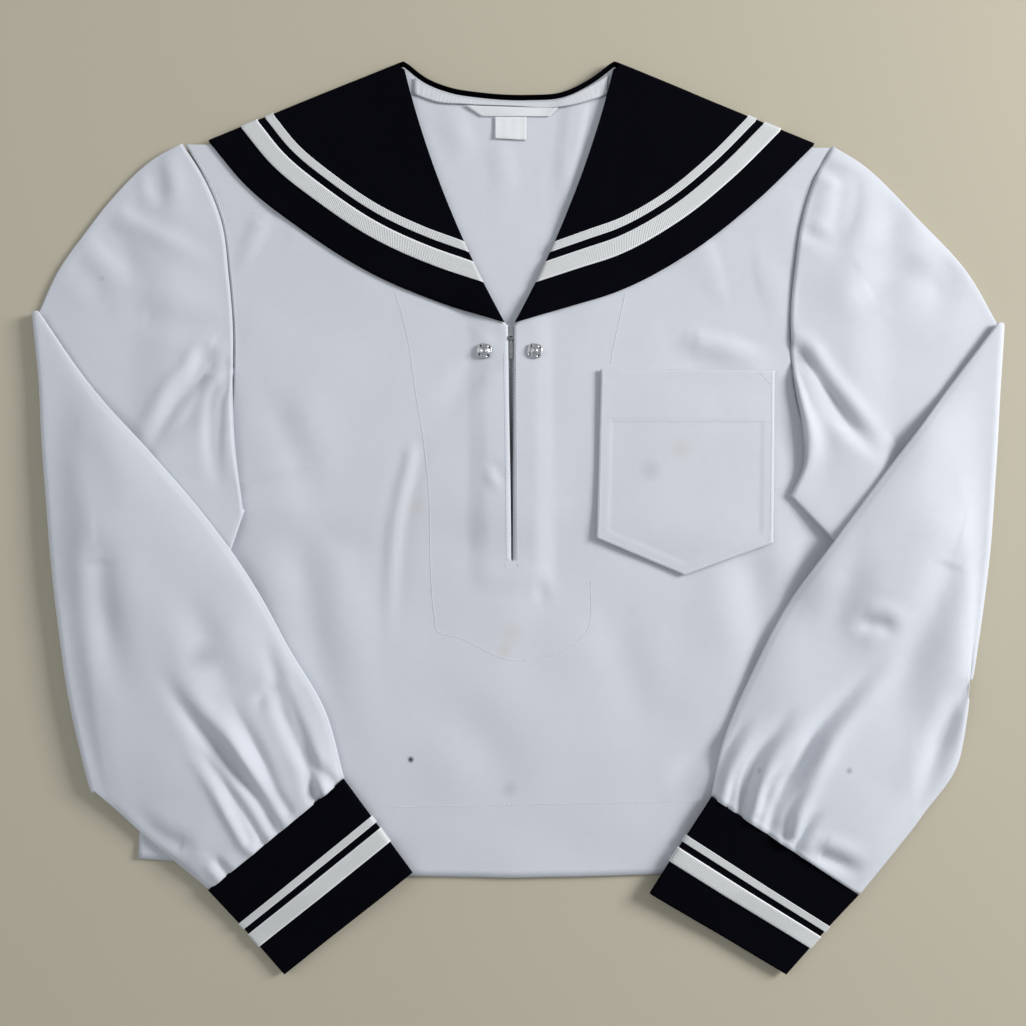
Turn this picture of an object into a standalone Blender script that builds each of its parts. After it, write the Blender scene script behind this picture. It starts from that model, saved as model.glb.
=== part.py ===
"""Sailor school uniform top in white cloth, laid flat on its back with both sleeves folded in.

Tables and helpers are in millimetres, and points become metres when a mesh is made. X runs to the
picture's right, Y towards the neck and Z up from the surface that the garment lies on.
"""

import math

import bpy
import numpy as np

# Driving dimensions
MM = 0.001
CENTRE = (3.0, 1.3)  # middle of the laid garment, which becomes the origin
CLOTH = 1.0  # thickness of every cloth wall
GAP = 0.3  # clearance between pieces that touch
LAYER = CLOTH + GAP  # from the middle of one layer to the middle of the next
FLOOR_LAYER = CLOTH / 2  # middle of a layer that lies on the surface
SEAM = 0.45  # plan distance between pieces that are sewn edge to edge
EDGE_ROOM = 0.8  # how far the body's top edge stays inside the collar's fold
FOLD_RADIUS = 0.85  # from the middle of a folded edge to the middle of its cloth

SHOULDER_TIP = {"left": (-197, 222), "right": (192, 220)}
NECK_POINT = {"left": (-66, 270), "right": (61, 270)}
COLLAR_CORNER = {"left": (-182, 222), "right": (180, 220)}
V_BOTTOM = {"left": (-5, 113), "right": (1, 113)}
V_BOW = 6.0  # how far the V edges bow outwards
HEM_CORNER = {"left": (-220, -203), "right": (220, -203)}
HEM_MIDDLE = (-0.6, -214)
BACK_HEM = [HEM_CORNER["left"], (-59, -213.5), HEM_MIDDLE, (75, -211), HEM_CORNER["right"]]
BACK_NECK = [(-66, 270), (-53, 260), (-38, 254), (-20, 251), (10, 249.5), (29, 251), (48, 260), (61, 270)]
SLIT = {"x": -1.2, "drift": 0.6, "end_y": -27, "top_width": 3.3, "end_width": 1.0}

# Edges of each panel as plan points x, y
ARMHOLE = {
    "left": [(-197, 222), (-186, 203), (-175, 175), (-170, 141), (-167, 105), (-167, 79), (-169, 58),
             (-176, 41), (-188, 29), (-207, 21)],
    "right": [(192, 220), (181, 200), (173, 175), (169, 150), (166, 120), (166, 97), (168, 74),
              (173, 54), (184, 36), (207, 21)],
}
SIDE_SEAM = {
    "left": [(-207, 21), (-215, -81), (-220, -203)],
    "right": [(207, 21), (215, -81), (220, -203)],
}
COLLAR_EDGE = {
    "left": [(-5, 113), (-43, 125), (-85, 143), (-126, 169), (-160, 196), (-182, 222)],
    "right": [(1, 113), (34, 123), (60, 131), (104, 154), (145, 186), (180, 220)],
}

# Sleeve edges as plan points x, y: head, top fold, underarm fold, crease, upper edge and outer edge
SLEEVE_HEAD = {
    "left": [(-199, 221.5), (-187, 203), (-175, 175), (-170, 141), (-167, 105), (-167, 79), (-166, 55),
             (-162, 20), (-159, 1)],
    "right": [(192, 220), (181, 200), (173, 175), (169, 150), (166, 120), (166, 97), (168, 74),
              (172, 50), (172, 28), (164, 10)],
}
TOP_FOLD = {
    "left": [(-197, 222), (-219, 211), (-242, 188), (-257, 168), (-272, 146), (-287, 124)],
    "right": [(192, 220), (213, 207), (243, 177), (273, 143), (294, 117)],
}
UNDERARM_FOLD = {
    "left": [(-159, 1), (-167, -23), (-200, -95), (-247, -163)],
    "right": [(164, 10), (192, -19), (235, -62), (271, -98)],
}
CREASE = {
    "left": [(-287, 120), (-282, 82), (-279, 44), (-275, 6), (-269, -49), (-260, -108), (-247, -163)],
    "right": [(293, 113), (290, 82), (286, 31), (281, -25), (276, -62), (271, -98)],
}
FOREARM_TOP = {
    "left": [(-287, 120), (-254, 79), (-213, 35), (-180, -3), (-154, -39), (-133, -78), (-111, -115),
             (-99, -156)],
    "right": [(293, 113), (255, 69), (217, 21), (189, -16), (167, -46), (140, -95), (122, -138),
              (116, -166)],
}
FOREARM_OUTER = {
    "left": [(-247, -163), (-233, -172), (-218, -186), (-177, -220)],
    "right": [(271, -98), (266, -121), (261, -149), (240, -177), (202, -223)],
}
CUFF = {  # corners: inner top, outer top, inner bottom, outer bottom
    "left": [(-99, -156), (-177, -220), (-59, -210), (-133, -269)],
    "right": [(116, -166), (201, -223), (80, -222), (159, -269)],
}
CREASE_INSET = 3.6  # from the crease's silhouette to the line that the sleeve turns about

# Gathers at each cuff seam: across (0 inner to 1 outer), length up the sleeve, depth of the valley
GATHERS = {
    "left": [(0.09, 73, 2.4), (0.18, 92, 2.8), (0.37, 63, 2.4), (0.46, 109, 3.2), (0.58, 77, 2.8),
             (0.67, 24, 1.6), (0.85, 20, 1.6)],
    "right": [(0.03, 57, 1.6), (0.10, 29, 1.8), (0.18, 69, 2.6), (0.28, 44, 2.2), (0.38, 131, 3.2),
              (0.47, 48, 2.4), (0.55, 30, 2.0), (0.65, 20, 1.6)],
}
GATHER_WIDTH = 0.03  # half the width of a valley, as a share of the seam
CREST = {"height": 2.6, "length": 60.0}  # how the gathered cloth stands up at the seam
WIDEST_COLUMN = 0.12  # widest step between two points across a sleeve
NARROW_CREST = 0.05  # a crest narrower than this has no points of its own

# Largest folds of the front: x0, y0, x1, y1, width, height above the soft surface
FRONT_FOLDS = [
    (-125, -30, -110, -155, 14, -1.2),
    (-60, 33, -74, -83, 10, 0.8),
    (140, -28, 146, -110, 14, -1.2),
    (120, -140, 92, -166, 12, -0.8),
    (118, 101, 152, 84, 13, 1.6),
]
# Largest folds of the sleeves, in the same columns
SLEEVE_FOLDS = {
    "left": [
        (-219, 188, -229, 150, 9, -1.0),
        (-173, 88, -209, 52, 9, -1.2),
        (-209, 52, -214, 35, 9, -1.2),
        (-240, -20, -228, -110, 14, -1.4),
    ],
    "right": [
        (172, 91, 193, 61, 9, -1.4),
        (193, 61, 217, 21, 9, -1.6),
        (270, -104, 252, -160, 10, -1.6),
        (169, 70, 176, 30, 11, 1.8),
    ],
}

# How far a piece's upper layer stands above its lower one where it is fullest
FRONT_PUFF = 2.2
UPPER_SLEEVE_PUFF = 2.0
UPPER_SLEEVE_EVEN_PUFF = 0.7
FOREARM_PUFF = 4.2

# How far a layer bridges past the edge of what it lies on
BINDING_REACH = 4
ZIP_TAPE_REACH = 6
COLLAR_REACH = 8
FRONT_REACH = 10
SLEEVE_REACH = 14
POCKET_REACH = 14
CUFF_REACH = 22
FOREARM_REACH = 26
CREASE_EASE = 45.0  # distance over which the forearm comes down from the crease

# Collar: distances from its outer edge
COLLAR_DEPTH = 118.0
TAPE_WIDE = (20.0, 30.0)
TAPE_NARROW = (34.5, 39.5)
FLAP_BOTTOM_Y = 35.0
FLAP_INSET = 45.0  # rows stay parallel to the flap's edge up to this distance
FLAP_MIDDLE = 1.8  # height of the flap's middle, over the tapes under it
FLAP_LIFT = 2.6  # how far the flap raises the back panel
LIFT_FULL = 18.0  # the lift is whole up to this distance from the flap
LIFT_NONE = 48.0  # and gone from this one
ROLL_FROM = 0.92  # share of the depth where the collar starts to roll over the back neck
LAPEL_NARROWING = 0.11  # how much less deep the tapes lie at the V than at the shoulder
SHOULDER_PEAK = 0.8  # how the turns draw together at the neck point

# Collar rows: share of the depth, wrap at the back neck (1 is underneath, 0 is on top)
COLLAR_ROWS = [
    (0.0, 1.0), (TAPE_WIDE[0] / COLLAR_DEPTH, 1.0), (TAPE_WIDE[1] / COLLAR_DEPTH, 1.0),
    (TAPE_NARROW[0] / COLLAR_DEPTH, 1.0), (TAPE_NARROW[1] / COLLAR_DEPTH, 1.0), (0.5, 1.0),
    (0.68, 1.0), (0.82, 1.0), (ROLL_FROM, 1.0), (0.935, 0.8), (0.95, 0.6), (0.965, 0.42), (0.98, 0.25),
]
LAPEL_COLUMNS = np.linspace(0, 1, 9)
TURN_STEPS = (0.25, 0.5, 0.75, 1.0)
FLAP_SIDE_COLUMNS = 5
FLAP_BOTTOM_COLUMNS = 7

POCKET = [(52, 85), (155, 84), (49, -15), (101, -37), (153, -18)]
BINDING_UPPER = [(-59.5, 262), (-50, 256.5), (-38, 252), (-20, 249), (10, 247.5), (29, 249),
                 (46, 257), (57, 264)]
BINDING_LOWER = [(-59.5, 252), (-45, 247), (-30, 246), (-2, 245), (28, 244), (40, 246), (57, 252)]
LABELS = {  # corners: top left, top right, bottom left, bottom right
    "neck_label": [(-29, 245.2), (27, 243.4), (-19, 238.6), (22, 238.6)],
    "care_label": [(-11, 238.2), (8, 238.2), (-11, 225), (8, 224)],
}

CUFF_ROWS = [0.0, 0.2, 0.40, 0.465, 0.525, 0.67, 0.83, 1.0]  # shares of the cuff's depth
CUFF_COLUMNS = [0, 0.12, 0.3, 0.5, 0.7, 0.88, 1.0]
CUFF_TAPES = {"narrow": (0.40, 0.465), "wide": (0.525, 0.67)}
CUFF_SPARE = 0.5  # how much more than a bare fold parts the cuff's two layers

# Rows down each piece, as shares of its length
UPPER_SLEEVE_ROWS = np.linspace(0, 1, 8)
FOREARM_ROWS = np.array([0, 0.1, 0.21, 0.33, 0.45, 0.57, 0.68, 0.78, 0.87, 0.94, 0.98, 1])
TURN_PHASES = [math.pi * k / 4 for k in (1, 2, 3)]
FRONT_COLUMNS = np.array([0, 0.08, 0.2, 0.33, 0.47, 0.61, 0.74, 0.85, 0.93, 0.97, 1])
V_ROWS, SLIT_ROWS, LOW_ROWS = 9, 9, 8
V_LEVEL, SLIT_LEVEL = 128.0, -12.0  # heights in plan at which the outer edge meets those rows

# Zip: slider and pull tab, as distances in plan and heights above the slider's underside
ZIP_TAPE_WIDTH = 9.0
SLIDER = {"width": 2.7, "back": 111.5, "front": 105.0, "cheek_end": 102.6, "cheek": 0.45,
          "height": 1.8, "step": 1.15}
PULL_TAB = {"pivot_y": 103.6, "pivot_height": 1.0, "ring": 0.9, "bore": 0.55, "pin": 0.25,
            "neck": 1.2, "width": 2.2, "neck_length": 1.9, "length": 12.0, "corner": 0.6,
            "thickness": 0.8}
CUT_PAST = 3.0  # how far a cutter reaches past what it cuts

# Snaps: profiles as radius and height above the cloth
SNAP_PLACES = {"left": (-17, 96), "right": (13, 96)}
SNAP_RADIUS = 4.8
SNAP_LOBES = 0.1  # how far the rim dips between its four lobes
SNAP_PLATE = [(4.5, 0.0), (SNAP_RADIUS, 0.25), (4.5, 0.7), (2.9, 0.8)]
SNAP_TOPS = {
    "left": [(2.6, 1.7), (1.5, 1.7), (1.2, 1.1)],
    "right": [(1.5, 1.0), (1.4, 2.0), (0.8, 2.4)],
}

# Colour as linear values, roughness and metallic
LOOKS = {
    "white cloth": ((0.66, 0.66, 0.76), 0.85, 0.0),
    "navy cloth": ((0.008, 0.009, 0.018), 0.9, 0.0),
    "white tape": ((0.74, 0.75, 0.8), 0.7, 0.0),
    "white label": ((0.85, 0.86, 0.88), 0.6, 0.0),
    "steel": ((0.45, 0.45, 0.47), 0.35, 1.0),
}
SHARP_ANGLE = math.radians(40)
GARMENT = "garment"  # the empty that every piece is parented to

# The ground is a square grid of heights that later layers rest on
CELL = 2.0
GROUND_HALF = 320.0


def smooth(x):
    """Go from 0 to 1 with level ends."""
    x = np.clip(x, 0.0, 1.0)
    return x * x * (3 - 2 * x)


def side_sign(side):
    """Return -1 for the picture's left and 1 for its right."""
    return -1 if side == "left" else 1


def unit(vectors):
    """Scale vectors to length 1."""
    return vectors / np.linalg.norm(vectors, axis=-1)[..., None]


def distances_along(points):
    """Return the distance along a line of points to each of them."""
    steps = np.linalg.norm(np.diff(points, axis=0), axis=1)
    return np.concatenate([[0.0], np.cumsum(steps)])


def dense_curve(points):
    """Return close points on a smooth curve through the given points, with their distances along it."""
    p = np.array(points, float)
    knots = distances_along(p)
    slopes = np.gradient(p, knots, axis=0)
    place = np.linspace(0.0, knots[-1], 60 * len(p))
    span = np.clip(np.searchsorted(knots, place, side="right") - 1, 0, len(p) - 2)
    size = (knots[span + 1] - knots[span])[:, None]
    s = (place - knots[span])[:, None] / size
    curve = (
        (2 * s**3 - 3 * s**2 + 1) * p[span]
        + (s**3 - 2 * s**2 + s) * size * slopes[span]
        + (3 * s**2 - 2 * s**3) * p[span + 1]
        + (s**3 - s**2) * size * slopes[span + 1]
    )
    return curve, distances_along(curve)


def at_shares(line, run, shares):
    """Return the points at the given shares of a line's length."""
    place = np.asarray(shares) * run[-1]
    return np.stack([np.interp(place, run, line[:, axis]) for axis in range(2)], axis=-1)


def along(points, shares):
    """Return the points at the given shares of a smooth curve's length."""
    return at_shares(*dense_curve(points), shares)


def along_straight(points, shares):
    """Return the points at the given shares of a line with straight pieces."""
    line = np.array(points, float)
    return at_shares(line, distances_along(line), shares)


def share_at(points, y):
    """Return the share of a falling curve's length at which it reaches the height y in plan."""
    curve, run = dense_curve(points)
    return float(np.interp(-y, -curve[:, 1], run) / run[-1])


def moved(points, distance):
    """Shift a plan curve sideways, to the left of its direction for a positive distance."""
    p = np.array(points, float)
    direction = unit(np.gradient(p, axis=0))
    return p + distance * np.stack([-direction[:, 1], direction[:, 0]], axis=-1)


def patch(near, far, first, last, rows, columns):
    """Fill four edge curves with a grid: near and far run across, first and last run down it."""
    t = np.asarray(rows)[:, None, None]
    u = np.asarray(columns)[None, :, None]
    sides = (1 - u) * first[:, None] + u * last[:, None]
    ends = (1 - t) * near[None] + t * far[None]
    corners = (1 - t) * ((1 - u) * near[0] + u * near[-1]) + t * ((1 - u) * far[0] + u * far[-1])
    return sides + ends - corners


def between(near, far, rows):
    """Return a plan grid of rows at the given shares between two edges."""
    return near[None] + np.asarray(rows)[:, None, None] * (far - near)[None]


def fold_height(plan, table):
    """Add up the soft ridges and troughs of a fold table at plan points."""
    height = np.zeros(plan.shape[:-1])
    for x0, y0, x1, y1, width, rise in table:
        start = np.array((x0, y0), float)
        run = np.array((x1 - x0, y1 - y0), float)
        share = np.clip(((plan - start) @ run) / (run @ run), 0, 1)
        distance = np.linalg.norm(plan - start - share[..., None] * run, axis=-1)
        height += rise * np.exp(-((distance / width) ** 2))
    return height


def with_height(plan, height):
    """Join plan points and heights into 3-D points."""
    height = np.broadcast_to(height, plan.shape[:-1])
    return np.concatenate([plan, height[..., None]], axis=-1)


def inset_ends(row, distance):
    """Pull both ends of a row of plan points inwards, to leave room for the rounded folds."""
    for end, inner in ((0, 1), (-1, -2)):
        step = row[inner] - row[end]
        length = np.linalg.norm(step)
        row[end] += step / length * min(distance, 0.4 * length)


def inset_edges(plan, distance):
    """Pull both ends of every row of a plan grid inwards."""
    for row in plan:
        inset_ends(row, distance)


def refined(grid, steps):
    """Return a grid of points with each cell split evenly, by straight lines."""
    for axis in (0, 1):
        count = grid.shape[axis]
        place = np.linspace(0, count - 1, (count - 1) * steps + 1)
        low = np.minimum(place.astype(int), count - 2)
        share = (place - low).reshape([-1 if a == axis else 1 for a in range(3)])
        grid = np.take(grid, low, axis) * (1 - share) + np.take(grid, low + 1, axis) * share
    return grid


class Ground:
    """Height of the highest cloth laid so far."""

    def __init__(self, top=None):
        count = int(2 * GROUND_HALF / CELL) + 1
        self.top = np.zeros((count, count)) if top is None else top.copy()

    def lay(self, grid, keep=None):
        """Raise the ground to the upper face of a cloth grid, or to the kept part of it."""
        points = refined(grid, 12).reshape(-1, 3)
        if keep is not None:
            points = points[keep(points)]
        cells = np.rint((points[:, :2] + GROUND_HALF) / CELL).astype(int)
        np.maximum.at(self.top, (cells[:, 0], cells[:, 1]), points[:, 2] + CLOTH / 2)

    def under(self, plan, reach):
        """Return the highest ground within reach of each plan point, smoothed."""
        field = self.top
        for size, pick in ((round(reach / CELL), np.max), (round(reach / CELL / 2), np.mean)):
            for axis in (0, 1):
                field = pick([np.roll(field, s, axis) for s in range(-size, size + 1)], axis=0)
        place = np.clip((plan + GROUND_HALF) / CELL, 0, field.shape[0] - 1.001)
        low = place.astype(int)
        share = place - low
        x, y = low[..., 0], low[..., 1]
        sx, sy = share[..., 0], share[..., 1]
        left = field[x, y] * (1 - sy) + field[x, y + 1] * sy
        right = field[x + 1, y] * (1 - sy) + field[x + 1, y + 1] * sy
        return left * (1 - sx) + right * sx

    def rest(self, plan, reach):
        """Return the height for the middle of a cloth layer that lies on the ground."""
        return self.under(plan, reach) + GAP + CLOTH / 2


def grid_faces(rows, columns, closed=False):
    """List the quads of a grid whose rows may close on themselves, with their fronts up."""
    faces = []
    for r in range(rows - 1):
        for c in range(columns if closed else columns - 1):
            d = (c + 1) % columns
            faces.append((r * columns + c, (r + 1) * columns + c, (r + 1) * columns + d, r * columns + d))
    return faces


def material(name):
    """Return a plain material with the colour, roughness and metallic value of its look."""
    found = bpy.data.materials.get(name)
    if found:
        return found
    colour, roughness, metallic = LOOKS[name]
    made = bpy.data.materials.new(name)
    made.use_nodes = True
    shader = made.node_tree.nodes["Principled BSDF"]
    shader.inputs["Base Color"].default_value = (*colour, 1)
    shader.inputs["Roughness"].default_value = roughness
    shader.inputs["Metallic"].default_value = metallic
    return made


def add_object(name, points, faces, look, origin=(*CENTRE, 0.0)):
    """Make a mesh object from points in millimetres, with its origin at a point of the layout."""
    mesh = bpy.data.meshes.new(name)
    mesh.from_pydata(((np.reshape(points, (-1, 3)) - origin) * MM).tolist(), [], faces)
    mesh.materials.append(material(look))
    mesh.shade_smooth()
    thing = bpy.data.objects.new(name, mesh)
    thing.parent = bpy.data.objects[GARMENT]
    thing.location = (np.array(origin) - (*CENTRE, 0.0)) * MM
    bpy.context.collection.objects.link(thing)
    return thing


def add_wall(thing):
    """Give a surface its thickness, half to each side."""
    wall = thing.modifiers.new("Wall", "SOLIDIFY")
    wall.thickness = CLOTH * MM
    wall.offset = 0.0
    wall.use_rim = True


def cloth(name, grid, look, closed=False):
    """Make a cloth wall from a grid of points in the middle of its thickness."""
    rows, columns = grid.shape[:2]
    add_wall(add_object(name, grid, grid_faces(rows, columns, closed), look))


def flap_lift(plan):
    """Height that the collar's hidden flap gives to whatever lies on it."""
    x, y = plan[..., 0], plan[..., 1]
    beside = np.maximum(np.maximum(COLLAR_CORNER["left"][0] - x, x - COLLAR_CORNER["right"][0]), 0)
    below = np.maximum(FLAP_BOTTOM_Y - y, 0)
    distance = np.hypot(beside, below)
    return FLAP_LIFT * (1 - smooth((distance - LIFT_FULL) / (LIFT_NONE - LIFT_FULL)))


def v_edge(side, shares):
    """Return points down one edge of the V neck, from the neck point to its bottom."""
    top = np.array(NECK_POINT[side], float)
    bottom = np.array(V_BOTTOM[side], float)
    k = np.asarray(shares)[:, None]
    bow = side_sign(side) * V_BOW * 4 * k * (1 - k)
    return top + k * (bottom - top) + bow * np.array((1.0, 0.0))


def outer_boundary(side):
    """Return the armhole and the side seam of a body panel as one curve."""
    return ARMHOLE[side] + SIDE_SEAM[side][1:]


def back_top_edge():
    """Return the back's top edge from tip to tip, with a point at each corner of the neck."""
    shares = np.linspace(0, 1, 4)
    up = along_straight([COLLAR_CORNER["left"], NECK_POINT["left"]], shares)
    neck = along(BACK_NECK, np.linspace(0, 1, 8))
    down = along_straight([NECK_POINT["right"], COLLAR_CORNER["right"]], shares)
    tips = np.array([SHOULDER_TIP["left"], SHOULDER_TIP["right"]], float)
    return np.concatenate([tips[:1], up[:-1], neck, down[1:], tips[1:]]) - (0, EDGE_ROOM)


def make_back():
    """Return the back panel's grid, on the surface and over the collar's flap."""
    near = back_top_edge()
    run = distances_along(near)
    columns = run / run[-1]
    sides = {}
    for side in ("left", "right"):
        armpit = share_at(outer_boundary(side), ARMHOLE[side][-1][1] + 1)
        shares = np.concatenate([np.linspace(0, armpit, 14), np.linspace(armpit, 1, 6)[1:]])
        sides[side] = along(outer_boundary(side), shares)
        sides[side][0, 1] -= EDGE_ROOM
    rows = np.linspace(0, 1, len(sides["left"]))
    plan = patch(near, along(BACK_HEM, columns), sides["left"], sides["right"], rows, columns)
    return with_height(plan, FLOOR_LAYER + flap_lift(plan))


def share_down_slit(y):
    """Go smoothly from 0 at the top of the zip slit to 1 at its end."""
    top = V_BOTTOM["left"][1]
    return smooth((top - y) / (top - SLIT["end_y"]))


def slit_edge(side, y):
    """Return the x of one lip of the zip slit at the height y in plan."""
    share = share_down_slit(y)
    half = (SLIT["top_width"] + share * (SLIT["end_width"] - SLIT["top_width"])) / 2
    return SLIT["x"] + SLIT["drift"] * share + side_sign(side) * half


def front_edges(side):
    """Return paired points down the outer edge and the inner edge of half the front."""
    outer = outer_boundary(side)
    share_v, share_slit = share_at(outer, V_LEVEL), share_at(outer, SLIT_LEVEL)
    outer_shares = np.concatenate([
        np.linspace(0, share_v, V_ROWS + 1)[:-1],
        np.linspace(share_v, share_slit, SLIT_ROWS + 1)[:-1],
        np.linspace(share_slit, 1, LOW_ROWS),
    ])
    in_v = v_edge(side, np.linspace(0, 1, V_ROWS + 1)[:-1])
    in_v[:, 0] += side_sign(side) * 1.5 * np.linspace(1, 0.6, V_ROWS)
    slit_y = np.linspace(V_BOTTOM[side][1] - 2, SLIT["end_y"], SLIT_ROWS)
    in_slit = np.stack([slit_edge(side, slit_y), slit_y], axis=-1)
    middle = (slit_edge("left", SLIT["end_y"]) + slit_edge("right", SLIT["end_y"])) / 2
    low_y = np.linspace(SLIT["end_y"] - 6, HEM_MIDDLE[1], LOW_ROWS)
    in_low = np.stack([np.full(LOW_ROWS, middle), low_y], axis=-1)
    first = along(outer, outer_shares)
    last = np.concatenate([in_v, in_slit, in_low])
    first[0, 1] -= EDGE_ROOM
    last[0, 1] -= 2 * EDGE_ROOM
    return first, last


def make_front(ground):
    """Return the front panel's two halves, lying on the back, with columns from left to right."""
    halves = {}
    for side in ("left", "right"):
        first, last = front_edges(side)
        rows = np.linspace(0, 1, len(first))
        corner = np.subtract(COLLAR_CORNER[side], (0, EDGE_ROOM))
        near = along_straight([first[0], corner, last[0]], FRONT_COLUMNS)
        far = along([HEM_CORNER[side], (side_sign(side) * 70, -212.5), last[-1]], FRONT_COLUMNS)
        plan = patch(near, far, first, last, rows, FRONT_COLUMNS)
        from_edge = smooth(FRONT_COLUMNS / 0.3)[None, :]
        from_ends = (smooth((rows - 0.34) / 0.2) * (1 - 0.8 * smooth((rows - 0.88) / 0.12)))[:, None]
        puff = (FRONT_PUFF + fold_height(plan, FRONT_FOLDS)) * from_edge * from_ends
        grid = with_height(plan, ground.rest(plan, FRONT_REACH) + np.maximum(puff, 0))
        halves[side] = grid if side == "left" else grid[:, ::-1]
    return halves


def join_front(halves):
    """Make the front panel from its two halves, which share their points below the slit."""
    left, right = halves["left"], halves["right"]
    rows, columns = left.shape[:2]
    split = rows - LOW_ROWS
    shared = (left[split:, -1] + right[split:, 0]) / 2
    left[split:, -1] = shared
    right[split:, 0] = shared
    faces = grid_faces(rows, columns)
    for face in grid_faces(rows, columns):
        joined = []
        for index in face:
            r, c = divmod(index, columns)
            on_join = c == 0 and r >= split
            joined.append(index + columns - 1 if on_join else rows * columns + index)
        faces.append(tuple(joined))
    points = np.concatenate([left.reshape(-1, 3), right.reshape(-1, 3)])
    used = sorted({i for face in faces for i in face})
    renumber = {old: new for new, old in enumerate(used)}
    faces = [tuple(renumber[i] for i in face) for face in faces]
    add_wall(add_object("front_panel", points[used], faces, "white cloth"))


def lapel_point(side, depth, shares):
    """Return lapel points at a share of the collar's depth, from the V edge to the shoulder fold."""
    neck = np.array(NECK_POINT[side], float)
    edge = along(COLLAR_EDGE[side], shares)
    from_v = (1 - shares)[:, None]
    w = depth * (1 - LAPEL_NARROWING * from_v * (1 - depth))
    bow = side_sign(side) * V_BOW * 4 * w * (1 - w) * from_v**3
    return neck + (1 - w) * (edge - neck) + bow * np.array((1.0, 0.0))


def flap_row(depth):
    """Return plan points across the hidden flap at a share of the collar's depth."""
    inset = min(depth * COLLAR_DEPTH, FLAP_INSET)
    top_left, top_right = [
        lapel_point(side, inset / COLLAR_DEPTH, np.array([1.0]))[0] for side in ("left", "right")
    ]
    corner_left = np.array((top_left[0], FLAP_BOTTOM_Y + inset))
    corner_right = np.array((top_right[0], FLAP_BOTTOM_Y + inset))
    side = np.linspace(0, 1, FLAP_SIDE_COLUMNS + 1)[:, None]
    bottom = np.linspace(0, 1, FLAP_BOTTOM_COLUMNS + 1)[1:-1, None]
    outline = np.concatenate([
        top_left + side * (corner_left - top_left),
        corner_left + bottom * (corner_right - corner_left),
        corner_right + side * (top_right - corner_right),
    ])
    shares = np.concatenate([[0], np.linspace(0, 1, len(outline) - 2), [1]])
    to_neck = float(np.interp(depth, [FLAP_INSET / COLLAR_DEPTH, ROLL_FROM], [0, 1]))
    row = outline + to_neck * (along(BACK_NECK, shares) - outline)
    row[0] = lapel_point("left", depth, np.array([1.0]))[0]
    row[-1] = lapel_point("right", depth, np.array([1.0]))[0]
    return row


def shoulder_turn(side, fold, wrap):
    """Return the points that carry a collar row round the shoulder fold, down to the flap."""
    neck = np.array(NECK_POINT[side], float)
    line = unit(neck - np.array(COLLAR_CORNER[side], float))
    out = -side_sign(side) * np.array((-line[1], line[0]))
    middle = (fold[2] + FLAP_MIDDLE) / 2
    radius = (fold[2] - FLAP_MIDDLE) / 2
    turn = []
    for step in TURN_STEPS:
        phase = math.pi * min(step, wrap)
        to_peak = SHOULDER_PEAK * max(0.0, step - wrap)
        foot = fold[:2] + to_peak * (neck - fold[:2])
        plan = foot + out * radius * math.sin(phase)
        turn.append((*plan, middle + radius * math.cos(phase)))
    return turn


def make_collar(ground):
    """Return the collar's grid: V edge, left lapel, shoulder turn, flap, turn, right lapel."""
    top = ground.rest(np.array([NECK_POINT["left"]], float), COLLAR_REACH)[0]
    middle, radius = (top + FLAP_MIDDLE) / 2, (top - FLAP_MIDDLE) / 2
    grid = []
    for depth, wrap in COLLAR_ROWS:
        ends = []
        for side in ("left", "right"):
            lapel = lapel_point(side, depth, LAPEL_COLUMNS)
            lapel = with_height(lapel, ground.rest(lapel, COLLAR_REACH))
            ends.append(np.concatenate([lapel, shoulder_turn(side, lapel[-1], wrap)]))
        flap = flap_row(depth)
        if depth >= ROLL_FROM:
            flap = moved(flap, radius * math.sin(math.pi * wrap))
        flap = with_height(flap, middle + radius * math.cos(math.pi * wrap))
        grid.append(np.concatenate([ends[0], flap[1:-1], ends[1][::-1]]))
    return np.array(grid)


def collar_tape(collar, distances):
    """Return a tape's grid: two collar rows moved out by one layer."""
    shares = [depth for depth, wrap in COLLAR_ROWS]
    rows = [shares.index(distance / COLLAR_DEPTH) for distance in distances]
    down, across = [np.gradient(collar, axis=axis)[rows] for axis in (0, 1)]
    return collar[rows] + LAYER * unit(np.cross(down, across))


def sleeve_columns(side):
    """Return the places across a sleeve: each gather's valley, and the crests between them."""
    stops = [0.0] + [row[0] for row in GATHERS[side]] + [1.0]
    places = set(stops)
    for low, high in zip(stops, stops[1:]):
        if high - low > NARROW_CREST:
            count = max(2, math.ceil((high - low) / WIDEST_COLUMN))
            places.update(low + (high - low) * k / count for k in range(1, count))
    return np.array(sorted(places))


def gather_height(side, columns, distance):
    """Height of the gathered crests near the cuff: columns across, distance up from the seam."""
    height = CREST["height"] * np.clip(1 - distance / CREST["length"], 0, 1)
    for across, reach, depth in GATHERS[side]:
        valley = np.exp(-(((columns - across) / GATHER_WIDTH) ** 2))[None, :]
        height -= depth * valley * np.clip(1 - distance / reach, 0, 1)
    return height


def lens(columns):
    """Rise from 0 at both folded edges to 1 in the middle."""
    return np.sqrt(np.clip(4 * columns * (1 - columns), 0, 1))


def edge_cap(upper, lower, end, inner, steps):
    """Return the rounded fold along one edge of a flat tube, square to the edge's own direction."""
    middle = (upper[:, end] + lower[:, end]) / 2
    arm = (upper[:, end] - lower[:, end]) / 2
    inside = (upper[:, inner] + lower[:, inner]) / 2
    out = np.cross(np.gradient(middle, axis=0), arm)
    out *= (np.linalg.norm(arm, axis=1) / np.linalg.norm(out, axis=1))[:, None]
    out *= np.sign(np.sum(out * (middle - inside)))
    return np.stack([middle + arm * math.cos(a) + out * math.sin(a) for a in steps], axis=1)


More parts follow.
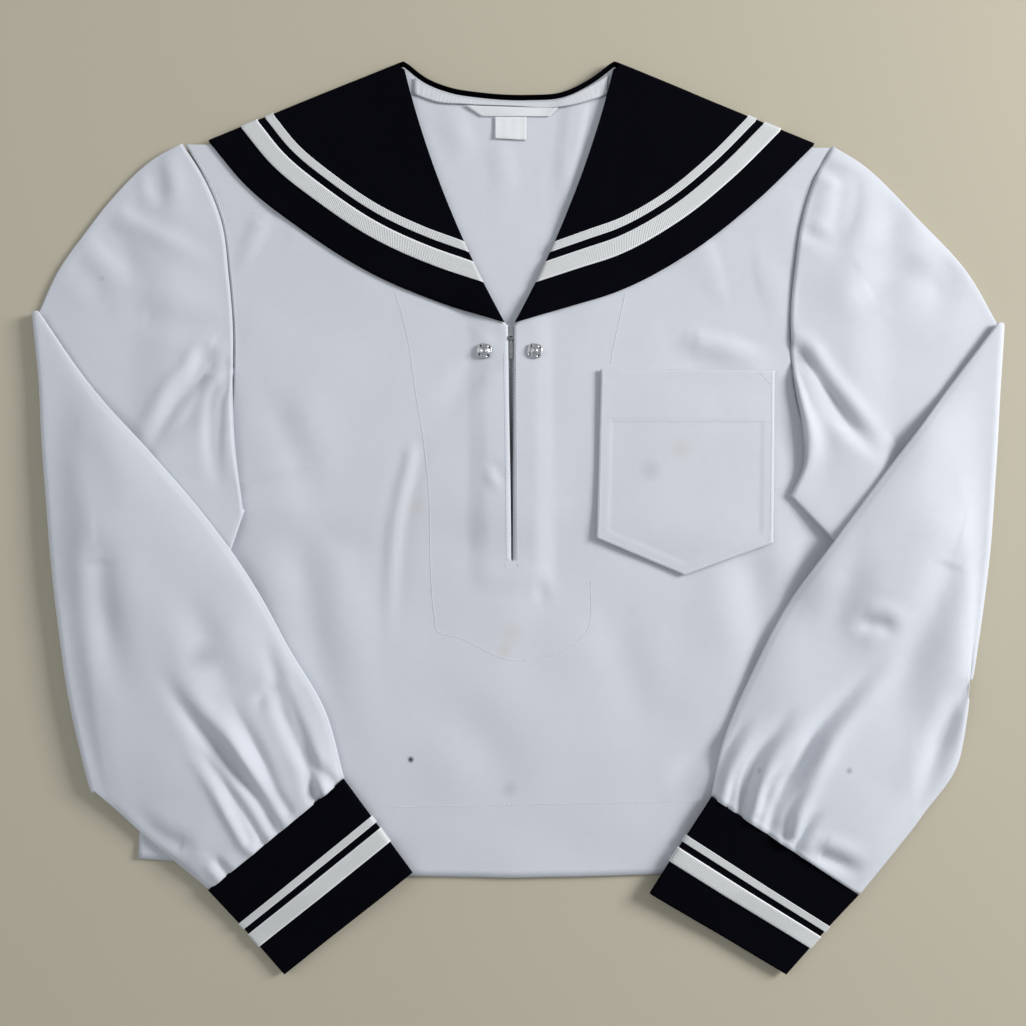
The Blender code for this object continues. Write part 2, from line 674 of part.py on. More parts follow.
def closed_rings(upper, lower):
    """Join an upper and a lower grid into closed rings, with rounded folds at both edges."""
    steps = [math.pi * k / 4 for k in (1, 2, 3)]
    last_cap = edge_cap(upper, lower, -1, -2, steps)
    first_cap = edge_cap(upper, lower, 0, 1, steps[::-1])
    return np.concatenate([upper, last_cap, lower[:, ::-1], first_cap], axis=1)


def body_under_sleeve(side, front):
    """Return the ground made by the part of the front that lies under the upper sleeve."""
    sign = side_sign(side)
    line = np.array(SLEEVE_HEAD[side], float)

    def past_head(points):
        head_x = np.interp(-points[:, 1], -line[:, 1], line[:, 0])
        return (sign * (points[:, 0] - head_x) > -10) & (points[:, 1] < 75)

    body = Ground()
    for grid in front.values():
        body.lay(grid, past_head)
    return body


def upper_sleeve(side, columns, axis, body):
    """Return the lower layer and the layer spread of the sleeve from its head to the crease."""
    sign = side_sign(side)
    rows = UPPER_SLEEVE_ROWS
    head = along(moved(along(SLEEVE_HEAD[side], np.linspace(0, 1, 30)), sign * SEAM), columns)
    first = along([head[0], *TOP_FOLD[side][1:-1], axis[0]], rows)
    last = along([head[-1], *UNDERARM_FOLD[side][1:-1], axis[-1]], rows)
    plan = patch(head, axis, first, last, rows, columns)
    inset_edges(plan, FOLD_RADIUS)
    on_body = body.rest(plan, SLEEVE_REACH) * (body.under(plan, SLEEVE_REACH) > GAP)
    lower = np.maximum(FLOOR_LAYER + flap_lift(plan), on_body)
    fullness = lens(columns)[None, :] * np.sin(math.pi * np.clip(rows, 0.04, 0.96))[:, None]
    spread = 2 * FOLD_RADIUS + UPPER_SLEEVE_EVEN_PUFF * lens(columns)[None, :]
    spread = spread + (UPPER_SLEEVE_PUFF + fold_height(plan, SLEEVE_FOLDS[side])) * fullness
    return with_height(plan, lower), np.maximum(spread, 2 * FOLD_RADIUS)


def forearm_plan(side, columns, axis):
    """Return the plan of the sleeve from the crease to the cuff seam."""
    rows = FOREARM_ROWS
    first = along([axis[0], *FOREARM_TOP[side][1:]], rows)
    last = along([axis[-1], *FOREARM_OUTER[side][1:]], rows)
    plan = patch(axis, along_straight(CUFF[side][:2], columns), first, last, rows, columns)
    inset_edges(plan, FOLD_RADIUS)
    return plan


def crease_turn(side, axis, start, inner, spread):
    """Return the rows that carry the sleeve's two layers over the crease, inside ones first."""
    outward = moved(axis, side_sign(side)) - axis
    turns = []
    for radius in (inner, inner + spread):
        rows = []
        for phase in TURN_PHASES:
            plan = axis + outward * (radius * math.sin(phase))[:, None]
            inset_ends(plan, FOLD_RADIUS)
            rows.append(with_height(plan, start + inner - radius * math.cos(phase)))
        turns.append(rows)
    return turns


def forearm_layers(side, columns, plan, resting, crease_top, crease_spread):
    """Return the lower and upper layers of the forearm, which comes down from the crease."""
    rows = FOREARM_ROWS
    length = np.linalg.norm(plan[-1] - plan[0], axis=-1)
    distance = (1 - rows)[:, None] * length[None, :]
    step_up = np.maximum(crease_top - resting[0], 0)
    from_crease = distance[:1] - distance
    base = resting + step_up[None, :] * (1 - smooth(from_crease / CREASE_EASE))
    across = lens(columns)[None, :]
    fullness = across * smooth((1 - np.abs(2 * rows - 1)) * 1.6 + 0.1)[:, None]
    spread = crease_spread[None, :] + FOREARM_PUFF * fullness * smooth(rows * 6)[:, None]
    gathers = gather_height(side, columns, distance)
    spread = spread + gathers * smooth(rows * 4)[:, None] * smooth(across * 1.5)
    spread = spread + fold_height(plan, SLEEVE_FOLDS[side]) * fullness
    spread = np.maximum(spread, 2 * FOLD_RADIUS)
    return with_height(plan, base), with_height(plan, base + spread)


def make_sleeve(side, ground, front):
    """Return a sleeve's rings from its head to the cuff seam."""
    columns = sleeve_columns(side)
    axis = along(np.array(CREASE[side]) - (side_sign(side) * CREASE_INSET, 0), columns)
    low_grid, spread = upper_sleeve(side, columns, axis, body_under_sleeve(side, front))
    high_grid = low_grid + spread[..., None] * (0, 0, 1)

    under_forearm = Ground(ground.top)
    under_forearm.lay(high_grid)
    plan = forearm_plan(side, columns, axis)
    resting = under_forearm.rest(plan, FOREARM_REACH)

    start = high_grid[-1, :, 2]
    inner = np.maximum(FOLD_RADIUS + 0.35, (resting[0] - start) / 2)
    turn_inside, turn_outside = crease_turn(side, axis, start, inner, spread[-1])
    arm_low, arm_high = forearm_layers(side, columns, plan, resting, start + 2 * inner, spread[-1])
    inside = np.concatenate([high_grid, turn_inside, arm_low])
    outside = np.concatenate([low_grid, turn_outside, arm_high])
    return closed_rings(inside, outside)


def cuff_plan(side):
    """Return a cuff's plan grid, a seam's width below the sleeve."""
    inner_top, outer_top, inner_low, outer_low = [np.array(p, float) for p in CUFF[side]]
    near = along_straight([inner_top, outer_top], CUFF_COLUMNS) + SEAM * unit(inner_low - inner_top)
    return between(near, along_straight([inner_low, outer_low], CUFF_COLUMNS), CUFF_ROWS)


def cuff_rings(plan, base, moved_out=0.0):
    """Close a cuff's two layers into rings, moved out by a distance for a tape round the cuff."""
    plan = plan.copy()
    inset_edges(plan, FOLD_RADIUS)
    low = with_height(plan, base - moved_out)
    high = with_height(plan, base + 2 * FOLD_RADIUS + CUFF_SPARE + moved_out)
    return closed_rings(high, low)


def make_cuff(side, ground):
    """Make a cuff, with room under it for the two tapes that go round it, and the tapes."""
    plan = cuff_plan(side)
    base = ground.rest(plan, CUFF_REACH) + LAYER
    cloth(f"cuff_{side}", cuff_rings(plan, base), "navy cloth", closed=True)
    for name, shares in CUFF_TAPES.items():
        rows = [CUFF_ROWS.index(share) for share in shares]
        rings = cuff_rings(plan[rows], base[rows], LAYER)
        cloth(f"cuff_tape_{name}_{side}", rings, "white tape", closed=True)


def lathe(name, place, height, profile, segments, look):
    """Turn a profile of radius and height about a vertical axis, with a four-lobed rim."""
    points = []
    for radius, z in profile:
        for k in range(segments):
            angle = 2 * math.pi * k / segments
            dip = SNAP_LOBES * (radius / SNAP_RADIUS) ** 4 * (1 + math.cos(4 * angle)) / 2
            r = radius * (1 - dip)
            points.append((place[0] + r * math.cos(angle), place[1] + r * math.sin(angle), height + z))
    count = len(profile)
    faces = []
    for r in range(count - 1):
        for k in range(segments):
            d = (k + 1) % segments
            faces.append((r * segments + k, r * segments + d, (r + 1) * segments + d, (r + 1) * segments + k))
    faces.append(tuple(range(segments))[::-1])
    faces.append(tuple((count - 1) * segments + k for k in range(segments)))
    thing = add_object(name, points, faces, look)
    thing.data.set_sharp_from_angle(angle=SHARP_ANGLE)


def prism(name, outline, low, high, upright=True, origin=(*CENTRE, 0.0)):
    """Extrude a closed outline between two heights if upright, and otherwise between two x."""
    count = len(outline)
    if upright:
        points = [(x, y, z) for z in (low, high) for x, y in outline]
    else:
        points = [(x, y, z) for x in (low, high) for y, z in outline]
    faces = [(k, (k + 1) % count, count + (k + 1) % count, count + k) for k in range(count)]
    faces.append(tuple(range(count))[::-1])
    faces.append(tuple(count + k for k in range(count)))
    thing = add_object(name, points, faces, "steel", origin)
    thing.data.set_sharp_from_angle(angle=SHARP_ANGLE)
    return thing


def circle(centre, radius, segments):
    """Return points round a circle, anticlockwise."""
    angles = [2 * math.pi * k / segments for k in range(segments)]
    return [(centre[0] + radius * math.cos(a), centre[1] + radius * math.sin(a)) for a in angles]


def boolean(target, other, operation):
    """Cut or join another object into the target, and keep the other as a hidden guide."""
    step = target.modifiers.new(operation.title(), "BOOLEAN")
    step.object = other
    step.operation = operation
    step.solver = "EXACT"
    other.hide_render = True
    other.display_type = "WIRE"


def make_slider(low, pivot):
    """Make the zip's slider: a body with a step, two cheeks and the cross pin between them."""
    x = SLIT["x"]
    half = SLIDER["width"] / 2
    inside = half - SLIDER["cheek"]
    end, front, back = SLIDER["cheek_end"], SLIDER["front"], SLIDER["back"]
    outline = [(x - half, end), (x - inside, end), (x - inside, front), (x + inside, front),
               (x + inside, end), (x + half, end), (x + half, back), (x - half, back)]
    slider = prism("zip_slider", outline, low, low + SLIDER["height"])
    pin = prism("slider_pin_guide", circle(pivot, PULL_TAB["pin"], 10),
                x - inside - 0.2, x + inside + 0.2, upright=False)
    boolean(slider, pin, "UNION")
    step = [(front + 0.05, low + SLIDER["step"]), (back + CUT_PAST, low + SLIDER["step"]),
            (back + CUT_PAST, low + CUT_PAST), (front + 0.05, low + CUT_PAST)]
    cutter = prism("slider_step_guide", step, x - CUT_PAST, x + CUT_PAST, upright=False)
    boolean(slider, cutter, "DIFFERENCE")


def make_pull_tab(pivot):
    """Make the pull tab, with its origin on the pin that it swings on."""
    x = SLIT["x"]
    y, z = pivot
    origin = (x, y, z)
    neck, wide = PULL_TAB["neck"] / 2, PULL_TAB["width"] / 2
    tip, start, corner = y - PULL_TAB["length"], y - PULL_TAB["neck_length"], PULL_TAB["corner"]
    ring = circle(pivot, PULL_TAB["ring"], 16)
    tab = prism("zip_pull_tab", ring, x - neck, x + neck, upright=False, origin=origin)
    blade = [(x - neck, y - 0.3), (x - neck, start), (x - wide, start - 0.5), (x - wide, tip + corner),
             (x - wide + corner, tip), (x + wide - corner, tip), (x + wide, tip + corner),
             (x + wide, start - 0.5), (x + neck, start), (x + neck, y - 0.3)]
    low = z - PULL_TAB["ring"]
    plate = prism("tab_plate_guide", blade, low, low + PULL_TAB["thickness"], origin=origin)
    boolean(tab, plate, "UNION")
    bore = prism("tab_bore_guide", circle(pivot, PULL_TAB["bore"], 12),
                 x - CUT_PAST, x + CUT_PAST, upright=False, origin=origin)
    boolean(tab, bore, "DIFFERENCE")


def make_zip_tapes(ground):
    """Make the two tapes under the slit, and then make them part of the ground."""
    y = np.linspace(V_BOTTOM["left"][1] - 1, SLIT["end_y"] - 4, 10)
    middle = SLIT["x"] + SLIT["drift"] * share_down_slit(y)
    tapes = []
    for side in ("left", "right"):
        edges = [middle + side_sign(side) * distance for distance in (GAP / 2, ZIP_TAPE_WIDTH)]
        plan = np.stack([np.stack([x, y], axis=-1) for x in edges[::side_sign(side)]], axis=1)
        tapes.append(with_height(plan, ground.rest(plan, ZIP_TAPE_REACH)))
        cloth(f"zip_tape_{side}", tapes[-1], "white tape")
    for grid in tapes:
        ground.lay(grid)


def make_zip(ground):
    """Make the zip: two tapes, the slider on them and its pull tab."""
    make_zip_tapes(ground)
    low = ground.under(np.array([[SLIT["x"] - ZIP_TAPE_WIDTH / 2, PULL_TAB["pivot_y"]]]), 2)[0] + GAP
    pivot = (PULL_TAB["pivot_y"], low + PULL_TAB["pivot_height"])
    make_slider(low, pivot)
    make_pull_tab(pivot)


def make_snaps(ground):
    """Make the two sew-on snaps: a socket with a dimple and a stud with a ball."""
    for side, place in SNAP_PLACES.items():
        seat = ground.under(np.array([place], float), 6)[0] + GAP
        lathe(f"snap_{side}", place, seat, SNAP_PLATE + SNAP_TOPS[side], 24, "steel")


def make_pocket(ground):
    """Make the pocket, with a column of points that ends at its tip."""
    columns = np.linspace(0, 1, 9)
    near = along_straight(POCKET[:2], columns)
    tip = (POCKET[3][0] - POCKET[2][0]) / (POCKET[4][0] - POCKET[2][0])
    low_edge = np.array(POCKET[2:], float)
    far = np.stack([np.interp(columns, [0, tip, 1], low_edge[:, axis]) for axis in range(2)], axis=-1)
    plan = between(near, far, np.linspace(0, 1, 8))
    cloth("pocket", with_height(plan, ground.rest(plan, POCKET_REACH)), "white cloth")


def make_neck_trims(ground):
    """Make the binding along the inside of the back neck and the two labels below it."""
    shares = np.linspace(0, 1, 11)
    plan = np.stack([along(BINDING_UPPER, shares), along(BINDING_LOWER, shares)])
    cloth("neck_binding", with_height(plan, ground.rest(plan, BINDING_REACH)), "white tape")
    for name, corners in LABELS.items():
        top, bottom = [along_straight(corners[k:k + 2], np.linspace(0, 1, 3)) for k in (0, 2)]
        plan = between(top, bottom, (0, 1))
        cloth(name, with_height(plan, ground.rest(plan, BINDING_REACH)), "white label")


def build():
    """Build every piece, from the lowest layer to the highest."""
    for thing in list(bpy.data.objects):
        bpy.data.objects.remove(thing, do_unlink=True)
    bpy.context.collection.objects.link(bpy.data.objects.new(GARMENT, None))

    ground = Ground()
    back = make_back()
    cloth("back_panel", back, "white cloth")
    ground.lay(back)
    make_neck_trims(ground)
    make_zip(ground)

    front = make_front(ground)
    join_front(front)
    for grid in front.values():
        ground.lay(grid)

    collar = make_collar(ground)
    cloth("collar", collar, "navy cloth")
    cloth("collar_tape_wide", collar_tape(collar, TAPE_WIDE), "white tape")
    cloth("collar_tape_narrow", collar_tape(collar, TAPE_NARROW), "white tape")
    make_pocket(ground)
    make_snaps(ground)
    for side in ("left", "right"):
        cloth(f"sleeve_{side}", make_sleeve(side, ground, front), "white cloth", closed=True)
        make_cuff(side, ground)


build()
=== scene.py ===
# %% [markdown]
# # A sailor top laid flat
# The object is a white school top with a navy sailor collar and navy cuffs. It lies on its back and
# both sleeves are folded in. The script loads the imported frame first, because every piece is laid in
# its sizes.

# %% Frame
import math

import bmesh
import bpy
import numpy as np
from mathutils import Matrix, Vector
from mathutils.bvhtree import BVHTree


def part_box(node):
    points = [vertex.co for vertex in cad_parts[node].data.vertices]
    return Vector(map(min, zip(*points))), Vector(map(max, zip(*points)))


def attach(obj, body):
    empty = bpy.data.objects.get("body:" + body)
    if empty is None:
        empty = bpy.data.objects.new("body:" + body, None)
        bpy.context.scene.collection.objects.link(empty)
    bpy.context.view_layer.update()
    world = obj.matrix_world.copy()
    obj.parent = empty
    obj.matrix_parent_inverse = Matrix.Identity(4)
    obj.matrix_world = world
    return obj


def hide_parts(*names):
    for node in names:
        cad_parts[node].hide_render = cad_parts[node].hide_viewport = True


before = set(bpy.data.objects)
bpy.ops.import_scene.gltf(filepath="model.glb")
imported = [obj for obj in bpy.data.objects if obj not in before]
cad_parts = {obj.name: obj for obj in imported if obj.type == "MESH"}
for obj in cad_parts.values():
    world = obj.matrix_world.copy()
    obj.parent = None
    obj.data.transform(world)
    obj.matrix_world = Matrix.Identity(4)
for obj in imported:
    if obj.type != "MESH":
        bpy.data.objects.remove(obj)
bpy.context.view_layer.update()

# %% [markdown]
# The camera looks down on the garment as the photograph does: almost straight, from 0.63 m, with a
# wide lens. It comes first, because each crease below is placed by what it shows.

# %% Camera
CAMERA_CENTRE = (-0.003, -0.0013)
CAMERA_BACK = 0.0252
CAMERA_HEIGHT = 0.6318
SENSOR = 36
LENS = 37.19

camera_data = bpy.data.cameras.new("camera")
camera_data.sensor_width = SENSOR
camera_data.lens = LENS
camera = bpy.data.objects.new("camera", camera_data)
camera.location = (CAMERA_CENTRE[0], CAMERA_CENTRE[1] - CAMERA_BACK, CAMERA_HEIGHT)
aim = Vector((*CAMERA_CENTRE, 0)) - camera.location
camera.rotation_euler = aim.to_track_quat("-Z", "Y").to_euler()
bpy.context.collection.objects.link(camera)
bpy.context.scene.camera = camera
print("camera", tuple(camera.location))

# %% [markdown]
# Tables are in millimetres, X to the picture's right, Y towards the neck and Z up. The middle of the
# laid garment is taken off when a mesh is made. These are the maker's sizes: how thick the cloth is,
# how far one layer lies over the next, and how round a folded edge is.

# %% Sizes
MM = 0.001
CENTRE = (3.0, 1.3)
CLOTH = 1.0
GAP = 0.3
LAYER = CLOTH + GAP
FLOOR_LAYER = CLOTH / 2
WALL = 0.8
SEAM = -0.4
EDGE_ROOM = 0.8
FOLD_RADIUS = 0.85
CELL = 2.0
GROUND_HALF = 320.0
CREASE_INSET = 3.6
PUFF = {"front": 2.2, "upper": 2.0, "upper_even": 0.7, "forearm": 4.2}
REACH = {"binding": 4, "zip": 6, "collar": 8, "front": 10, "sleeve": 14, "pocket": 14, "cuff": 22,
         "forearm": 26}
CREASE_EASE = 45.0
CREASE_STRENGTH = {"front": 1.25, "upper": 1.4, "forearm": 1.5}
print("cloth", CLOTH, "mm, layers", LAYER, "mm apart")

# %% [markdown]
# The pattern's edges come next, as short lists of points. A smooth curve goes through each list, so a
# few points are enough for an armhole or a folded edge.

# %% Edges
SHOULDER_TIP = {"left": (-197, 222), "right": (192, 220)}
NECK_POINT = {"left": (-66, 270), "right": (61, 270)}
COLLAR_CORNER = {"left": (-182, 222), "right": (180, 220)}
V_BOTTOM = {"left": (-5, 113), "right": (1, 113)}
V_BOW = 6.0
HEM_CORNER = {"left": (-220, -203), "right": (220, -203)}
HEM_MIDDLE = (-0.6, -214)
BACK_HEM = [HEM_CORNER["left"], (-59, -213.5), HEM_MIDDLE, (75, -211), HEM_CORNER["right"]]
BACK_NECK = [(-66, 270), (-53, 260), (-38, 254), (-20, 251), (10, 249.5), (29, 251), (48, 260), (61, 270)]
SLIT = {"x": -1.2, "drift": 0.6, "end_y": -27, "top_width": 3.3, "end_width": 1.0}
ARMHOLE = {
    "left": [(-197, 222), (-186, 203), (-175, 175), (-170, 141), (-167, 105), (-167, 79), (-169, 58),
             (-176, 41), (-188, 29), (-207, 21)],
    "right": [(192, 220), (181, 200), (173, 175), (169, 150), (166, 120), (166, 97), (168, 74),
              (173, 54), (184, 36), (207, 21)],
}
SIDE_SEAM = {
    "left": [(-207, 21), (-215, -81), (-220, -203)],
    "right": [(207, 21), (215, -81), (220, -203)],
}
COLLAR_EDGE = {
    "left": [(-5, 113), (-43, 125), (-85, 143), (-126, 169), (-160, 196), (-182, 222)],
    "right": [(1, 113), (34, 123), (60, 131), (104, 154), (145, 186), (180, 220)],
}
SLEEVE_HEAD = {
    "left": [(-199, 221.5), (-187, 203), (-175, 175), (-170, 141), (-167, 105), (-167, 79), (-166, 55),
             (-162, 20), (-159, 1)],
    "right": [(192, 220), (181, 200), (173, 175), (169, 150), (166, 120), (166, 97), (168, 74),
              (172, 50), (172, 28), (164, 10)],
}
TOP_FOLD = {
    "left": [(-197, 222), (-219, 211), (-242, 188), (-257, 168), (-272, 146), (-287, 124)],
    "right": [(192, 220), (213, 207), (243, 177), (273, 143), (294, 117)],
}
UNDERARM_FOLD = {
    "left": [(-159, 1), (-167, -23), (-200, -95), (-247, -163)],
    "right": [(164, 10), (192, -19), (235, -62), (271, -98)],
}
CREASE = {
    "left": [(-287, 120), (-282, 82), (-279, 44), (-275, 6), (-269, -49), (-260, -108), (-247, -163)],
    "right": [(293, 113), (290, 82), (286, 31), (281, -25), (276, -62), (271, -98)],
}
FOREARM_TOP = {
    "left": [(-287, 120), (-254, 79), (-213, 35), (-180, -3), (-154, -39), (-133, -78), (-111, -115),
             (-99, -156)],
    "right": [(293, 113), (255, 69), (217, 21), (189, -16), (167, -46), (140, -95), (122, -138),
              (116, -166)],
}
FOREARM_OUTER = {
    "left": [(-247, -163), (-233, -172), (-218, -186), (-177, -220)],
    "right": [(271, -98), (266, -121), (261, -149), (240, -177), (202, -223)],
}
CUFF = {
    "left": [(-99, -156), (-177, -220), (-59, -210), (-133, -269)],
    "right": [(116, -166), (201, -223), (80, -222), (159, -269)],
}
print("edges", len(ARMHOLE) + len(COLLAR_EDGE) + len(CREASE) + len(CUFF), "curves")

# %% [markdown]
# Creases are what make cloth look like cloth. Each one is a line of points, a width, a depth and a lean:
# a soft trough with a low ridge beside it, deeper at its start and fading to its end. A negative depth
# is a raised crease. They are placed one by one, uneven as on the real top.

# %% Creases
FRONT_CREASES = [
    ([(-126, -28), (-110, -110), (-101, -157)], 11, 1.3, 0.2),
    ([(-60, 36), (-70, -10), (-73, -52), (-74, -88)], 3.4, -0.9, 0.4),
    ([(141, -28), (145, -75), (143, -114)], 11, 1.3, -0.2),
    ([(121, -136), (104, -147), (89, -166)], 7, 1.6, 0.6),
    ([(-18, 90), (-32, 74), (-48, 56)], 7, 0.8, 0.3),
    ([(-151, 174), (-158, 158), (-168, 136)], 6, -0.9, 0.3),
    ([(127, 170), (138, 133), (153, 98)], 8, 0.9, -0.3),
    ([(108, 103), (136, 95), (156, 86)], 7, -1.6, 0.3),
    ([(-18, 116), (-12, 107), (-5, 101)], 3.2, 0.9, 0.5),
    ([(21, 119), (15, 114), (7, 108)], 3.2, 0.8, -0.5),
    ([(-14, 23), (-11, 18), (-7, 13)], 2.8, -0.7, 0.5),
    ([(16, -42), (18, -56)], 3.0, 0.5, 0.5),
    ([(-140, 60), (-128, 30), (-122, -5)], 9, 0.8, 0.4),
    ([(-30, -120), (-8, -150), (10, -178)], 13, 0.7, -0.3),
    ([(60, -70), (72, -110), (70, -150)], 12, 0.7, 0.3),
    ([(-165, 12), (-140, 20), (-118, 28)], 5, 0.7, 0.3),
]
UPPER_CREASES = {
    "left": [
        ([(-218, 214), (-213, 198), (-208, 176)], 5, 1.7, 0.4),
        ([(-249, 170), (-237, 158), (-219, 135)], 8, 1.3, 0.3),
        ([(-236, 178), (-205, 162), (-172, 143)], 5, -0.9, 0.4),
        ([(-219, 117), (-196, 113), (-171, 114)], 8, 0.9, 0.3),
        ([(-182, 92), (-188, 80), (-198, 69), (-207, 54), (-213, 38), (-210, 28)], 4.5, 2.3, -0.7),
        ([(-168, 88), (-177, 85), (-187, 84)], 4, 1.2, 0.4),
        ([(-166, 80), (-173, 73), (-176, 50), (-175, 30), (-168, 4)], 4.5, 1.7, 0.6),
        ([(-230, 199), (-240, 194)], 4, 1.2, 0.3),
        ([(-262, 150), (-250, 138), (-243, 118)], 7, 0.8, 0.3),
    ],
    "right": [
        ([(202, 198), (197, 172), (184, 146)], 7, 1.5, -0.4),
        ([(184, 208), (196, 203), (211, 199)], 4, 1.1, 0.5),
        ([(212, 132), (233, 143), (266, 132)], 8, 1.3, 0.4),
        ([(168, 94), (178, 78), (191, 61), (204, 46), (214, 33), (217, 20)], 5, 2.8, 0.9),
        ([(152, 89), (162, 78), (168, 62), (174, 45), (173, 33), (169, 22), (165, 7)], 6, -2.4, 0.5),
        ([(240, 186), (228, 170), (222, 152)], 8, 0.9, 0.3),
        ([(262, 150), (254, 128), (238, 108)], 9, 0.9, -0.3),
        ([(176, 166), (184, 164), (193, 166)], 4, 0.9, 0.3),
    ],
}
FOREARM_CREASES = {
    "left": [
        ([(-104, -158), (-113, -150), (-122, -130), (-131, -107), (-139, -80)], 3.6, 2.4, 0.7),
        ([(-114, -167), (-120, -150), (-128, -132), (-136, -112), (-140, -92), (-146, -66)],
         3.8, 2.8, -0.7),
        ([(-129, -177), (-137, -164), (-149, -139), (-159, -120), (-167, -102)], 4.2, 3.0, 0.8),
        ([(-167, -102), (-182, -65), (-197, -36)], 9, 1.2, 0.3),
        ([(-137, -184), (-149, -164), (-165, -144), (-181, -126), (-195, -107), (-208, -86)],
         5.0, 3.6, -0.9),
        ([(-145, -193), (-157, -173), (-170, -154), (-189, -128)], 3.4, 2.4, 0.7),
        ([(-152, -192), (-161, -175), (-172, -154)], 2.4, 1.4, 0.6),
        ([(-166, -210), (-170, -205), (-175, -198)], 3.0, 1.6, 0.5),
        ([(-241, -28), (-238, -58), (-231, -92), (-220, -118)], 10, 2.2, -0.5),
        ([(-192, -194), (-206, -189), (-217, -178), (-221, -166)], 6, 1.6, 0.4),
        ([(-141, -103), (-147, -109), (-150, -116)], 3.2, 1.2, 0.5),
        ([(-252, 40), (-240, 10), (-236, -14)], 11, 0.9, 0.3),
    ],
    "right": [
        ([(117, -164), (119, -150), (126, -135), (132, -126), (143, -113)], 3.6, 2.2, -0.7),
        ([(125, -172), (128, -156), (135, -144)], 3.0, 1.8, 0.6),
        ([(133, -177), (135, -160), (140, -146), (148, -134), (156, -124), (164, -109)], 4.0, 3.0, -0.8),
        ([(141, -181), (145, -170), (149, -160), (157, -152), (164, -142)], 3.2, 2.2, 0.7),
        ([(150, -186), (154, -170), (162, -155), (170, -141), (178, -127), (189, -114), (203, -99),
          (214, -88), (222, -74)], 5.0, 3.7, -0.9),
        ([(158, -191), (161, -173), (169, -160), (179, -148)], 3.4, 2.4, 0.7),
        ([(163, -196), (170, -183), (181, -171)], 3.0, 2.0, 0.6),
        ([(178, -199), (190, -204), (206, -211)], 4.5, 1.8, 0.5),
        ([(205, -65), (215, -66), (222, -75)], 4.5, 1.4, 0.4),
        ([(198, -34), (191, -56), (186, -78)], 9, 1.0, 0.3),
        ([(255, -30), (246, -56), (235, -78), (224, -112), (218, -136)], 11, 2.2, 0.5),
        ([(270, -102), (262, -109), (254, -125), (246, -148), (236, -170), (222, -184)], 6.5, 2.8, 0.7),
        ([(268, 40), (252, 18), (242, -10)], 12, 0.9, 0.3),
    ],
}
BACK_CREASES = [
    ([(36, 244), (32, 207), (31, 176)], 6, -1.4, 0.4),
    ([(43, 247), (39, 222), (37, 200)], 5, -1.0, 0.4),
    ([(-37, 238), (-30, 222), (-24, 204)], 9, -1.0, 0.3),
    ([(-9, 222), (-6, 200), (-10, 180)], 8, -0.8, -0.3),
    ([(-150, 20), (-110, -60), (-90, -150)], 14, -1.0, 0.3),
    ([(150, -10), (120, -90), (126, -170)], 14, -1.0, -0.3),
    ([(10, 20), (-20, -70), (0, -160)], 16, -0.8, 0.3),
]
print("creases", len(FRONT_CREASES) + len(BACK_CREASES) + sum(map(len, FOREARM_CREASES.values())))

# %% [markdown]
# A piece of cloth is a grid of points. Its edges are smooth curves, its inside is filled from them,
# and the heights come from what it lies on. These helpers work on whole arrays at once.

# %% Curves and grids
def smooth(x):
    """Go from 0 to 1 with level ends: 3 x squared less 2 x cubed."""
    x = np.clip(x, 0.0, 1.0)
    return x * x * (3 - 2 * x)


def side_sign(side):
    """Return -1 for the picture's left and 1 for its right."""
    return -1 if side == "left" else 1


def unit(vectors):
    """Divide vectors by their length."""
    return vectors / np.linalg.norm(vectors, axis=-1)[..., None]


def distances_along(points):
    """Add up the steps between points, from 0 at the first."""
    steps = np.linalg.norm(np.diff(points, axis=0), axis=1)
    return np.concatenate([[0.0], np.cumsum(steps)])


def dense_curve(points):
    """Join points with cubic pieces whose slopes are the mean slopes at the points."""
    p = np.array(points, float)
    knots = distances_along(p)
    slopes = np.gradient(p, knots, axis=0)
    place = np.linspace(0.0, knots[-1], 60 * len(p))
    span = np.clip(np.searchsorted(knots, place, side="right") - 1, 0, len(p) - 2)
    size = (knots[span + 1] - knots[span])[:, None]
    s = (place - knots[span])[:, None] / size
    start = (2 * s**3 - 3 * s**2 + 1) * p[span] + (s**3 - 2 * s**2 + s) * size * slopes[span]
    end = (3 * s**2 - 2 * s**3) * p[span + 1] + (s**3 - s**2) * size * slopes[span + 1]
    return start + end, distances_along(start + end)


def at_shares(line, run, shares):
    """Read a line at shares of its length."""
    place = np.asarray(shares) * run[-1]
    return np.stack([np.interp(place, run, line[:, axis]) for axis in range(line.shape[1])], axis=-1)


def along(points, shares):
    """Read a smooth curve at shares of its length."""
    return at_shares(*dense_curve(points), shares)


def along_straight(points, shares):
    """Read a line of straight pieces at shares of its length."""
    line = np.array(points, float)
    return at_shares(line, distances_along(line), shares)


def share_at(points, y):
    """Return the share at which a falling curve reaches the height y in plan."""
    curve, run = dense_curve(points)
    return float(np.interp(-y, -curve[:, 1], run) / run[-1])


def moved(points, distance):
    """Shift a plan curve to the left of its direction."""
    p = np.array(points, float)
    direction = unit(np.gradient(p, axis=0))
    return p + distance * np.stack([-direction[:, 1], direction[:, 0]], axis=-1)


def patch(near, far, first, last, rows, columns):
    """Blend four edges: sides plus ends, less the blend of the four corners."""
    t = np.asarray(rows)[:, None, None]
    u = np.asarray(columns)[None, :, None]
    sides = (1 - u) * first[:, None] + u * last[:, None]
    ends = (1 - t) * near[None] + t * far[None]
    corners = (1 - t) * ((1 - u) * near[0] + u * near[-1]) + t * ((1 - u) * far[0] + u * far[-1])
    return sides + ends - corners


def with_height(plan, height):
    """Join plan points and heights."""
    height = np.broadcast_to(height, plan.shape[:-1])
    return np.concatenate([plan, height[..., None]], axis=-1)


